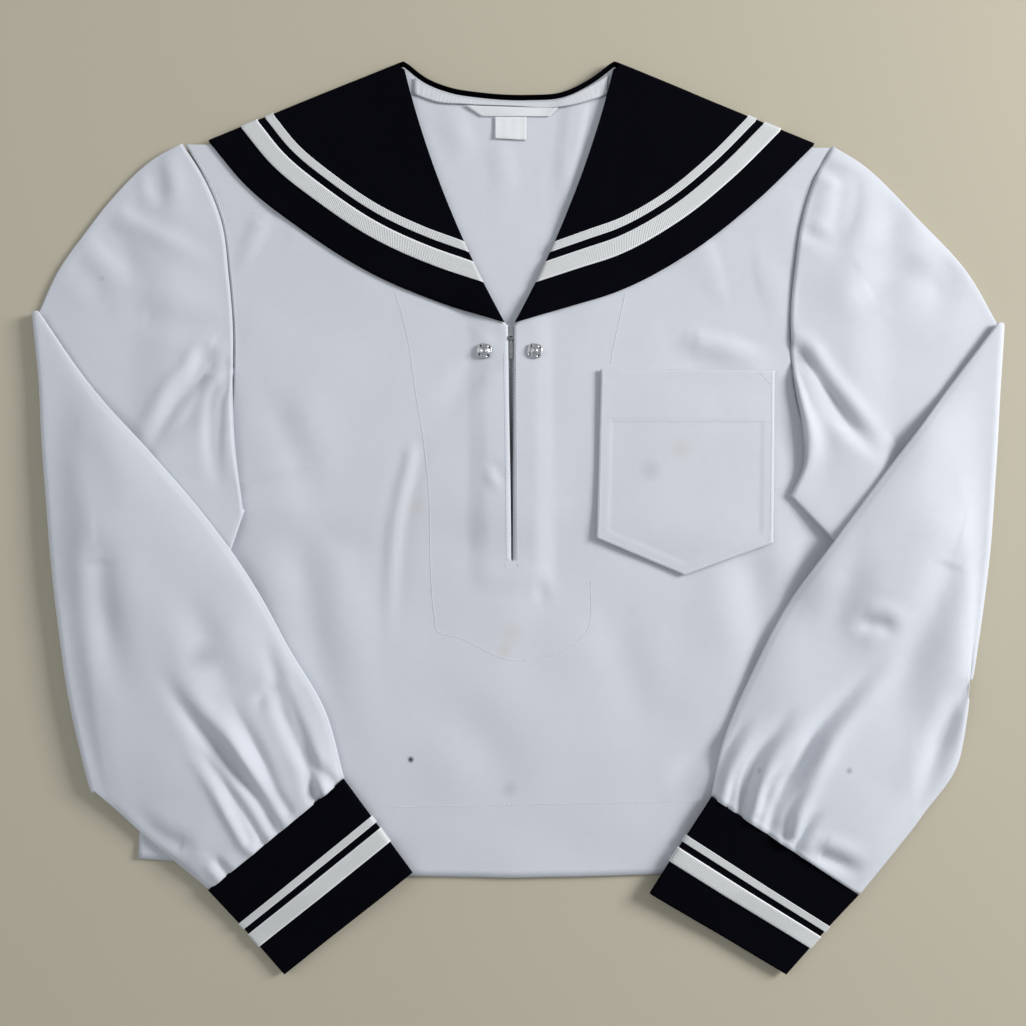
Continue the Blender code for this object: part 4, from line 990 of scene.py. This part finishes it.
def shoulder_turn(side, fold, wrap):
    """Half a circle from the lapel's height to the flap's, square to the shoulder fold."""
    neck = np.array(NECK_POINT[side], float)
    line = unit(neck - np.array(COLLAR_CORNER[side], float))
    out = -side_sign(side) * np.array((-line[1], line[0]))
    middle, radius = (fold[2] + FLAP_MIDDLE) / 2, (fold[2] - FLAP_MIDDLE) / 2
    phase = math.pi * np.minimum(TURN_STEPS, wrap)
    to_peak = 0.8 * np.maximum(0.0, TURN_STEPS - wrap)
    foot = fold[:2] + to_peak[:, None] * (neck - fold[:2])
    turn = foot + (radius * np.sin(phase))[:, None] * out
    return np.concatenate([turn, (middle + radius * np.cos(phase))[:, None]], axis=1)


def collar_rows(shares_down):
    """Make the collar's row at each share of its depth."""
    top = ground.rest(np.array([NECK_POINT["left"]], float), REACH["collar"])[0]
    middle, radius = (top + FLAP_MIDDLE) / 2, (top - FLAP_MIDDLE) / 2
    grid = []
    for depth in shares_down:
        wrap = float(np.interp(depth, [ROLL_FROM, 0.935, 0.95, 0.965, 0.98], [1, 0.8, 0.6, 0.42, 0.25]))
        ends = []
        for side in ("left", "right"):
            lapel = lapel_point(side, depth, LAPEL_COLUMNS)
            away = smooth(LAPEL_COLUMNS / 0.1) * smooth((1 - LAPEL_COLUMNS) / 0.15)
            height = ground.rest(lapel, REACH["collar"]) + np.maximum(ripple(lapel, 0.16, 1.1), 0) * away
            lapel = with_height(lapel, height)
            ends.append(np.concatenate([lapel, shoulder_turn(side, lapel[-1], wrap)]))
        flap = flap_row(depth)
        if depth >= ROLL_FROM:
            flap = moved(flap, radius * math.sin(math.pi * wrap))
        flap = with_height(flap, middle + radius * math.cos(math.pi * wrap))
        grid.append(np.concatenate([ends[0], flap[1:-1], ends[1][::-1]]))
    return np.array(grid)


def collar_tape(distances, lift):
    """Take the rows between two distances from the edge, and move them out along the normal."""
    spread = np.linspace(distances[0], distances[1], 7) / COLLAR_DEPTH
    margin = np.concatenate([[spread[0] - 0.01], spread, [spread[-1] + 0.01]])
    rows = collar_rows(margin)
    normal = unit(np.cross(np.gradient(rows, axis=0), np.gradient(rows, axis=1)))
    return (rows + lift * normal)[1:-1]


collar = collar_rows(COLLAR_SHARES)
cloth_piece("collar_cloth", [collar], navy_cloth)
for name, distances in (("wide", TAPE_WIDE), ("narrow", TAPE_NARROW)):
    cloth_piece(f"collar_tape_{name}_cloth", [collar_tape(distances, 0.85)], braid,
                wall=0.55, tape=True)

# %% [markdown]
# The patch pocket has a pointed bottom, a doubled top hem and edges turned under, so its border is a
# little thicker than its middle.

# %% Pocket
POCKET = [(52, 85), (155, 84), (49, -15), (101, -37), (153, -18)]
POCKET_TIP = (POCKET[3][0] - POCKET[2][0]) / (POCKET[4][0] - POCKET[2][0])


def make_pocket():
    """Fill between the top edge and the pointed bottom, and raise the hem and the borders."""
    columns = np.unique(np.concatenate([np.linspace(0, POCKET_TIP, 41), np.linspace(POCKET_TIP, 1, 41)]))
    near = along_straight(POCKET[:2], columns)
    low_edge = np.array(POCKET[2:], float)
    far = np.stack([np.interp(columns, [0, POCKET_TIP, 1], low_edge[:, axis]) for axis in range(2)], -1)
    rows = np.linspace(0, 1, 91)
    plan = near[None] + rows[:, None, None] * (far - near)[None]
    to_side = np.minimum(columns, 1 - columns)[None, :] * 103
    length = (near - far)[:, 1]
    to_end = np.minimum(rows[:, None], 1 - rows[:, None]) * length[None, :]
    hem = 0.35 * (1 - smooth((rows[:, None] * length[None, :] - 29) / 2.5))
    border = 0.3 * (1 - smooth((np.minimum(to_side, to_end) - 6) / 2.0))
    relief = np.maximum(ripple(plan, 0.2, 1.9), -0.1) * smooth(np.minimum(to_side, to_end) / 8)
    return with_height(plan, ground.rest(plan, REACH["pocket"]) - 0.1 + np.maximum(hem, border) + relief)


pocket = make_pocket()
cloth_piece("pocket_cloth", [pocket], pocket_cloth,
            wall=0.9)

# %% [markdown]
# A sleeve is a flat tube. From its head it lies on the surface, turns over at the crease, and comes
# back down as the forearm to the cuff. Its two layers are joined by a round fold at each edge. The
# gathers at the cuff are creases that start at the seam and fade up the forearm.

# %% Sleeves
COLUMNS = np.linspace(0, 1, 91)
UPPER_ROWS = np.linspace(0, 1, 54)
FOREARM_ROWS = np.linspace(0, 1, 92)
TURN_PHASES = np.linspace(0, math.pi, 9)[1:-1]
CAP_STEPS = np.linspace(0, math.pi, 8)[1:-1]


def lens(columns):
    """The root of 4 u (1 - u): 0 at both folded edges and 1 in the middle."""
    return np.sqrt(np.clip(4 * columns * (1 - columns), 0, 1))


def edge_cap(upper, lower, end, inner, steps):
    """Half a circle from the upper layer to the lower, square to the edge."""
    middle = (upper[:, end] + lower[:, end]) / 2
    arm = (upper[:, end] - lower[:, end]) / 2
    inside = (upper[:, inner] + lower[:, inner]) / 2
    out = np.cross(np.gradient(middle, axis=0), arm)
    out *= (np.linalg.norm(arm, axis=1) / np.maximum(np.linalg.norm(out, axis=1), 1e-9))[:, None]
    out *= np.sign(np.sum(out * (middle - inside), axis=1))[:, None]
    return np.stack([middle + arm * math.cos(a) + out * math.sin(a) for a in steps], axis=1)


def closed_rings(upper, lower):
    """Upper layer, cap, lower layer backwards, cap."""
    last_cap = edge_cap(upper, lower, -1, -2, CAP_STEPS)
    first_cap = edge_cap(upper, lower, 0, 1, CAP_STEPS[::-1])
    return np.concatenate([upper, last_cap, lower[:, ::-1], first_cap], axis=1)


def body_under_sleeve(side):
    """Make a ground of the front's part that lies under the upper sleeve."""
    line = np.array(SLEEVE_HEAD[side], float)

    def past_head(points):
        head_x = np.interp(-points[:, 1], -line[:, 1], line[:, 0])
        return (side_sign(side) * (points[:, 0] - head_x) > -10) & (points[:, 1] < 75)

    body = Ground()
    for grid in front.values():
        body.lay(grid, past_head, steps=4)
    return body


def upper_sleeve(side, axis, body):
    """The lower layer lies on floor or body; the spread is an even part, a puff and the creases."""
    head = along(moved(along(SLEEVE_HEAD[side], np.linspace(0, 1, 30)), side_sign(side) * SEAM), COLUMNS)
    first = along([head[0], *TOP_FOLD[side][1:-1], axis[0]], UPPER_ROWS)
    last = along([head[-1], *UNDERARM_FOLD[side][1:-1], axis[-1]], UPPER_ROWS)
    plan = patch(head, axis, first, last, UPPER_ROWS, COLUMNS)
    inset_edges(plan, FOLD_RADIUS)
    on_body = body.rest(plan, REACH["sleeve"]) * (body.under(plan, REACH["sleeve"]) > GAP)
    lower = np.maximum(FLOOR_LAYER + flap_lift(plan), on_body)
    across = lens(COLUMNS)[None, :]
    fullness = across * np.sin(math.pi * np.clip(UPPER_ROWS, 0.04, 0.96))[:, None]
    near_ends = smooth(UPPER_ROWS / 0.04 + 0.3) * smooth((1 - UPPER_ROWS) / 0.1)
    creases = CREASE_STRENGTH["upper"] * crease_height(plan, UPPER_CREASES[side])
    relief = (creases + ripple(plan, 0.3, 2.3)) * near_ends[:, None]
    spread = 2 * FOLD_RADIUS + PUFF["upper_even"] * across + PUFF["upper"] * fullness
    spread = spread + relief * smooth(across * 1.6)
    return with_height(plan, lower), np.maximum(spread, 2 * FOLD_RADIUS)


def crease_turn(side, axis, start, inner, spread):
    """Carry both layers over the crease on half circles, the inner one first."""
    outward = moved(axis, side_sign(side)) - axis
    turns = []
    for radius in (inner, inner + spread):
        rows = []
        for phase in TURN_PHASES:
            plan = (axis + outward * (radius * math.sin(phase))[:, None])[None].copy()
            inset_edges(plan, FOLD_RADIUS)
            rows.append(with_height(plan[0], start + inner - radius * math.cos(phase)))
        turns.append(np.array(rows))
    return turns


def forearm_layers(side, plan, resting, crease_top, crease_spread):
    """Come down from the crease, puff up, rise to the gathered crests and take the creases off."""
    length = np.linalg.norm(plan[-1] - plan[0], axis=-1)
    distance = (1 - FOREARM_ROWS)[:, None] * length[None, :]
    step_up = np.maximum(crease_top - resting[0], 0)
    base = resting + step_up[None, :] * (1 - smooth((distance[:1] - distance) / CREASE_EASE))
    across = lens(COLUMNS)[None, :]
    fullness = across * smooth((1 - np.abs(2 * FOREARM_ROWS - 1)) * 1.6 + 0.1)[:, None]
    begun = smooth(FOREARM_ROWS * 6)[:, None]
    spread = crease_spread[None, :] + PUFF["forearm"] * fullness * begun
    crest = 2.6 * np.clip(1 - distance / 60.0, 0, 1)
    creases = CREASE_STRENGTH["forearm"] * crease_height(plan, FOREARM_CREASES[side])
    relief = crest + creases + ripple(plan, 0.35, 0.9) * begun
    spread = spread + relief * smooth(FOREARM_ROWS * 4)[:, None] * smooth(across * 1.5)
    spread = np.maximum(spread, 2 * FOLD_RADIUS)
    return with_height(plan, base), with_height(plan, base + spread)


def make_sleeve(side):
    """Join the upper sleeve, the crease's turn and the forearm into rings."""
    axis = along(np.array(CREASE[side]) - (side_sign(side) * CREASE_INSET, 0), COLUMNS)
    low_grid, spread = upper_sleeve(side, axis, body_under_sleeve(side))
    high_grid = low_grid + spread[..., None] * (0, 0, 1)
    under_forearm = Ground(ground.top)
    under_forearm.lay(high_grid, steps=4)
    first = along([axis[0], *FOREARM_TOP[side][1:]], FOREARM_ROWS)
    last = along([axis[-1], *FOREARM_OUTER[side][1:]], FOREARM_ROWS)
    plan = patch(axis, along_straight(CUFF[side][:2], COLUMNS), first, last, FOREARM_ROWS, COLUMNS)
    inset_edges(plan, FOLD_RADIUS)
    resting = under_forearm.rest(plan, REACH["forearm"])
    start = high_grid[-1, :, 2]
    inner = np.maximum(FOLD_RADIUS + 0.35, (resting[0] - start) / 2)
    turn_inside, turn_outside = crease_turn(side, axis, start, inner, spread[-1])
    arm_low, arm_high = forearm_layers(side, plan, resting, start + 2 * inner, spread[-1])
    inside = np.concatenate([high_grid, turn_inside, arm_low])
    outside = np.concatenate([low_grid, turn_outside, arm_high])
    return closed_rings(inside, outside)


sleeves = {side: make_sleeve(side) for side in ("left", "right")}
for side, rings in sleeves.items():
    cloth_piece(f"sleeve_{side}_cloth", [rings], sleeve_cloth,
                closed=True)

# %% [markdown]
# Each cuff is a short flat tube in navy, and its two tapes are narrower tubes round it.

# %% Cuffs
CUFF_TAPES = {"narrow": (0.40, 0.465), "wide": (0.525, 0.67)}


def cuff_rings(plan, base, moved_out=0.0):
    """Two layers a fold apart, moved out for a tape, joined by round edges."""
    plan = plan.copy()
    inset_edges(plan, FOLD_RADIUS)
    spread = 2 * FOLD_RADIUS + 0.5 + 0.5 * lens(np.linspace(0, 1, plan.shape[1]))[None, :]
    return closed_rings(with_height(plan, base + spread + moved_out), with_height(plan, base - moved_out))


def make_cuff(side):
    """Lay the cuff beside its sleeve, and its tapes round it."""
    corners = [np.array(p, float) for p in CUFF[side]]
    columns = np.linspace(0, 1, 61)
    near = along_straight(corners[:2], columns) + SEAM * unit(corners[2] - corners[0])
    far = along_straight(corners[2:], columns)

    def rings(shares_down, out):
        plan = near[None] + shares_down[:, None, None] * (far - near)[None]
        base = ground.rest(plan, REACH["cuff"]) + LAYER
        return cuff_rings(plan, base, out)

    cloth_piece(f"cuff_{side}_cloth", [rings(np.linspace(0, 1, 43), 0.0)], navy_cloth,
                closed=True)
    for name, (low, high) in CUFF_TAPES.items():
        cloth_piece(f"cuff_tape_{name}_{side}_cloth", [rings(np.linspace(low, high, 7), 0.85)], braid,
                    closed=True, wall=0.55, tape=True)


for side in ("left", "right"):
    make_cuff(side)

# %% [markdown]
# Stitches are hundreds of tiny threads, so one low shape with a few dozen faces is copied along each
# sewn line as arrays. A ray from above finds the cloth that each stitch lies on.

# %% Stitches
STITCH_LINES = {
    "facing": [(-71, 134), (-64, 110), (-57, 67), (-53, 43), (-49, 1), (-49, -20), (-46, -63), (-45, -69),
               (-31, -74), (0, -87), (45, -67), (46, -46), (46, -40)],
    "facing_up": [(58, 88), (60, 99), (64, 117), (67, 131)],
    "hem": [(-77, -173), (-30, -172), (20, -171), (70, -170), (116, -169)],
    "zip_left": [(-5.4, 95), (-4.6, 50), (-3.6, -28)],
    "zip_right": [(1.9, 95), (2.2, 50), (2.8, -28)],
    "zip_end": [(-5, -29.5), (-3, -33), (3, -33), (3, -29.5)],
    "dart_left": [(-160, 16), (-138, 22), (-118, 27)],
    "dart_right": [(154, 15), (166, 12)],
    "pocket_left": [(53.5, 83), (50.6, -14)],
    "pocket_tip": [(50.6, -14), (101, -35.4), (151.4, -17)],
    "pocket_right": [(151.4, -17), (153.4, 83)],
    "pocket_hem": [(53, 54), (153, 54)],
    "pocket_corner": [(146, 83), (153, 76)],
    "seam_left": [(-195, 218), (-184, 203), (-173, 175), (-168, 141), (-165, 105), (-165, 79)],
    "seam_right": [(190, 216), (179, 200), (171, 175), (167, 150), (164, 120), (164, 97)],
}
PITCH = 2.6


def stitch_shape():
    """An ellipsoid of four rings and five sides, long along X."""
    from_end = np.linspace(0.12, math.pi - 0.12, 4)
    round_it = np.linspace(0, 2 * math.pi, 6)[:-1]
    t, a = np.meshgrid(from_end, round_it, indexing="ij")
    points = np.stack([np.cos(t), np.sin(t) * np.cos(a), np.sin(t) * np.sin(a)], axis=-1)
    r, c = grid_corners(4, 5, True)
    return points.reshape(-1, 3), (r * 5 + c % 5)[:, ::-1]


def top_surface(grids):
    """Make a tree of the triangles of grids, for rays from above."""
    points, faces, base = [], [], 0
    for grid in grids:
        r, c = grid_corners(*grid.shape[:2], False)
        points.append(grid.reshape(-1, 3))
        faces.append(base + r * grid.shape[1] + c)
        base += grid.shape[0] * grid.shape[1]
    return BVHTree.FromPolygons(np.concatenate(points).tolist(), np.concatenate(faces).tolist())


def copies(name, places, directions, size, look):
    """Copy the stitch shape to places, long along directions, with half sizes long, wide, high."""
    shape, faces = stitch_shape()
    side_way = np.stack([-directions[:, 1], directions[:, 0], np.zeros(len(places))], axis=-1)
    ahead = np.concatenate([directions, np.zeros((len(places), 1))], axis=1)
    up = np.array((0.0, 0.0, 1.0))
    points = (places[:, None] + size[0] * shape[None, :, :1] * ahead[:, None]
              + size[1] * shape[None, :, 1:2] * side_way[:, None] + size[2] * shape[None, :, 2:] * up)
    every = faces[None] + (np.arange(len(places)) * len(shape))[:, None, None]
    mesh = bpy.data.meshes.new(name)
    points = ((points - (*CENTRE, 0.0)) * MM).reshape(-1, 3)
    mesh.from_pydata(points.tolist(), [], every.reshape(-1, 4).tolist())
    mesh.uv_layers.new(name="UVMap")
    mesh.materials.append(look)
    mesh.shade_smooth()
    thing = bpy.data.objects.new(name, mesh)
    bpy.context.collection.objects.link(thing)
    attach(thing, "garment")
    print(name, len(places), "copies")
    return thing


cloth_top = top_surface(list(front.values()) + [pocket])
spots, ways = [], []
for name, points in STITCH_LINES.items():
    straight = name.startswith(("pocket", "zip_end"))
    line = np.array(points, float) if straight else dense_curve(points)[0]
    run = distances_along(line)
    count = max(2, int(run[-1] / PITCH))
    spots.append(at_shares(line, run, (np.arange(count) + 0.5) / count))
    ways.append(unit(at_shares(line, run, (np.arange(count) + 0.7) / count)
                     - at_shares(line, run, (np.arange(count) + 0.3) / count)))
spots, ways = np.concatenate(spots), np.concatenate(ways)
hits = [cloth_top.ray_cast(Vector((x, y, 50.0)), Vector((0, 0, -1)))[0] for x, y in spots]
found = np.array([hit is not None for hit in hits])
heights = np.array([hit.z for hit in hits if hit is not None]) + 0.52
copies("stitches", with_height(spots[found], heights), ways[found], (0.95, 0.22, 0.16), thread_white)

# %% [markdown]
# The zip's coil shows as a thin grey line in the slit. It is two rows of small bent threads, one along
# each tape, which mesh in the middle.

# %% Zip coil
coil_y = np.arange(100.0, SLIT["end_y"], -0.9)
coil_x = SLIT["x"] + SLIT["drift"] * share_down_slit(coil_y)
row_side = np.where(np.arange(len(coil_y)) % 2 == 0, -0.35, 0.35)
coil_plan = np.stack([coil_x + row_side, coil_y], axis=-1)
coil_places = with_height(coil_plan, zip_tapes[0][0, 0, 2] + 0.75)
copies("zip_coil", coil_places, np.tile((1.0, 0.0), (len(coil_y), 1)), (0.95, 0.38, 0.42), coil_grey)

# %% [markdown]
# Two sew-on snaps hold the V shut: a socket with a dimple on the left and a stud with a ball on the
# right. Each is a profile turned about its axis, with four lobes and a sewing hole in each lobe. An
# attribute marks the holes, where painted shade makes the metal near black.

# %% Snaps
SNAP_PLACES = {"left": (-17, 96), "right": (13, 96)}
SNAP_PROFILE = {
    "left": [(4.8, 0.1), (4.9, 0.35), (4.5, 0.7), (3.2, 0.85), (2.8, 1.5), (2.3, 1.85), (1.8, 1.8),
             (1.5, 1.2), (0.6, 0.95), (0.02, 0.95)],
    "right": [(4.8, 0.1), (4.9, 0.35), (4.5, 0.7), (3.2, 0.85), (2.0, 0.95), (1.5, 1.1), (1.45, 1.9),
              (1.1, 2.25), (0.6, 2.4), (0.02, 2.42)],
}


def snap_material():
    """Nickel with painted shade, near black, where the attribute marks the sewing holes."""
    made, tree, shader, place, uv = start_material("snap_nickel", 0.3, metallic=1.0, specular=0.5)
    tone = place_group(tree, "toning", place, Broad=400.0, Fine=2500.0)
    # Painted shade: the metal is mixed to near black where the attribute marks a hole.
    painted_hole_shade = tree.nodes.new("ShaderNodeAttribute")
    painted_hole_shade.attribute_name = "painted_hole_shade"
    colour = mix_colour(tree, tone, (0.50, 0.50, 0.52), (0.85, 0.85, 0.87))
    tree.links.new(mix_colour(tree, painted_hole_shade.outputs["Fac"], colour, (0.02, 0.02, 0.02)),
                   shader.inputs["Base Color"])
    add_bump(tree, shader, tone, 0.2, 0.0001)
    return made


def make_snap(side, look):
    """Radius and height along the profile, less lobes of cos 4a on the rim, less holes."""
    profile = np.array(SNAP_PROFILE[side])
    run = distances_along(profile)
    line = at_shares(profile, run, np.linspace(0, 1, 40))
    angle = np.linspace(0, 2 * math.pi, 65)[:-1]
    radius, height = line[:, :1], line[:, 1:]
    dip = 0.12 * (radius / 4.9) ** 4 * (1 + np.cos(4 * angle + 0.6)) / 2
    lobe = np.cos(4 * angle + 0.6 + math.pi)
    hole = np.exp(-(((radius - 3.75) / 0.55) ** 2)) * smooth((lobe - 0.45) / 0.4)
    x = SNAP_PLACES[side][0] + radius * (1 - dip) * np.cos(angle)
    y = SNAP_PLACES[side][1] + radius * (1 - dip) * np.sin(angle)
    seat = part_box(f"snap_{side}")[0][2] / MM
    z = seat + height + 0 * angle - 0.5 * hole
    grid = np.stack([x, y, z], axis=-1)[:, ::-1]
    thing = mesh_from_grids(f"snap_{side}_metal", [grid], look, closed=True)
    # This attribute marks the holes for their painted shade.
    mark = thing.data.attributes.new("painted_hole_shade", "FLOAT", "POINT")
    mark.data.foreach_set("value", hole[:, ::-1].ravel())
    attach(thing, "garment")
    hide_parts(f"snap_{side}")
    return thing


snap_nickel = snap_material()
for side in ("left", "right"):
    print("snap", make_snap(side, snap_nickel).name)

# %% [markdown]

# %% [markdown]
# The floor is plain and pale. One large soft lamp stands to the picture's right, as in the photograph,
# so folds are shaded on their left, and an even background light fills the shadows.

# %% Floor and light
floor_look, tree, shader, place, uv = start_material("pale_floor", 0.9, specular=0.15)
tone = place_group(tree, "toning", place, Broad=3.0, Fine=900.0)
tree.links.new(mix_colour(tree, tone, (0.47, 0.43, 0.335), (0.51, 0.47, 0.37)), shader.inputs["Base Color"])
floor_mesh = bpy.data.meshes.new("floor")
FLOOR_HALF = 3.0
FLOOR_Z = -0.0003
floor_mesh.from_pydata(
    [(-FLOOR_HALF, -FLOOR_HALF, FLOOR_Z), (FLOOR_HALF, -FLOOR_HALF, FLOOR_Z),
     (FLOOR_HALF, FLOOR_HALF, FLOOR_Z), (-FLOOR_HALF, FLOOR_HALF, FLOOR_Z)], [], [(0, 1, 2, 3)])
floor_mesh.materials.append(floor_look)
floor = bpy.data.objects.new("floor", floor_mesh)
bpy.context.collection.objects.link(floor)

world = bpy.data.worlds.new("studio")
world.use_nodes = True
world.node_tree.nodes["Background"].inputs["Color"].default_value = (0.90, 0.95, 1.0, 1)
world.node_tree.nodes["Background"].inputs["Strength"].default_value = 0.33
bpy.context.scene.world = world
LAMPS = [  # name, place, size in metres, energy in watts
    ("key", (1.7, 0.55, 0.95), 0.7, 44.0),
    ("fill", (-1.3, 0.4, 1.4), 1.4, 8.0),
]
for name, place_at, size, energy in LAMPS:
    lamp_data = bpy.data.lights.new(name, "AREA")
    lamp_data.size = size
    lamp_data.energy = energy
    lamp = bpy.data.objects.new(name, lamp_data)
    lamp.location = place_at
    lamp.rotation_euler = (Vector((0, 0, 0)) - lamp.location).to_track_quat("-Z", "Y").to_euler()
    bpy.context.collection.objects.link(lamp)
bpy.context.scene.view_settings.view_transform = "Standard"
print("light set")
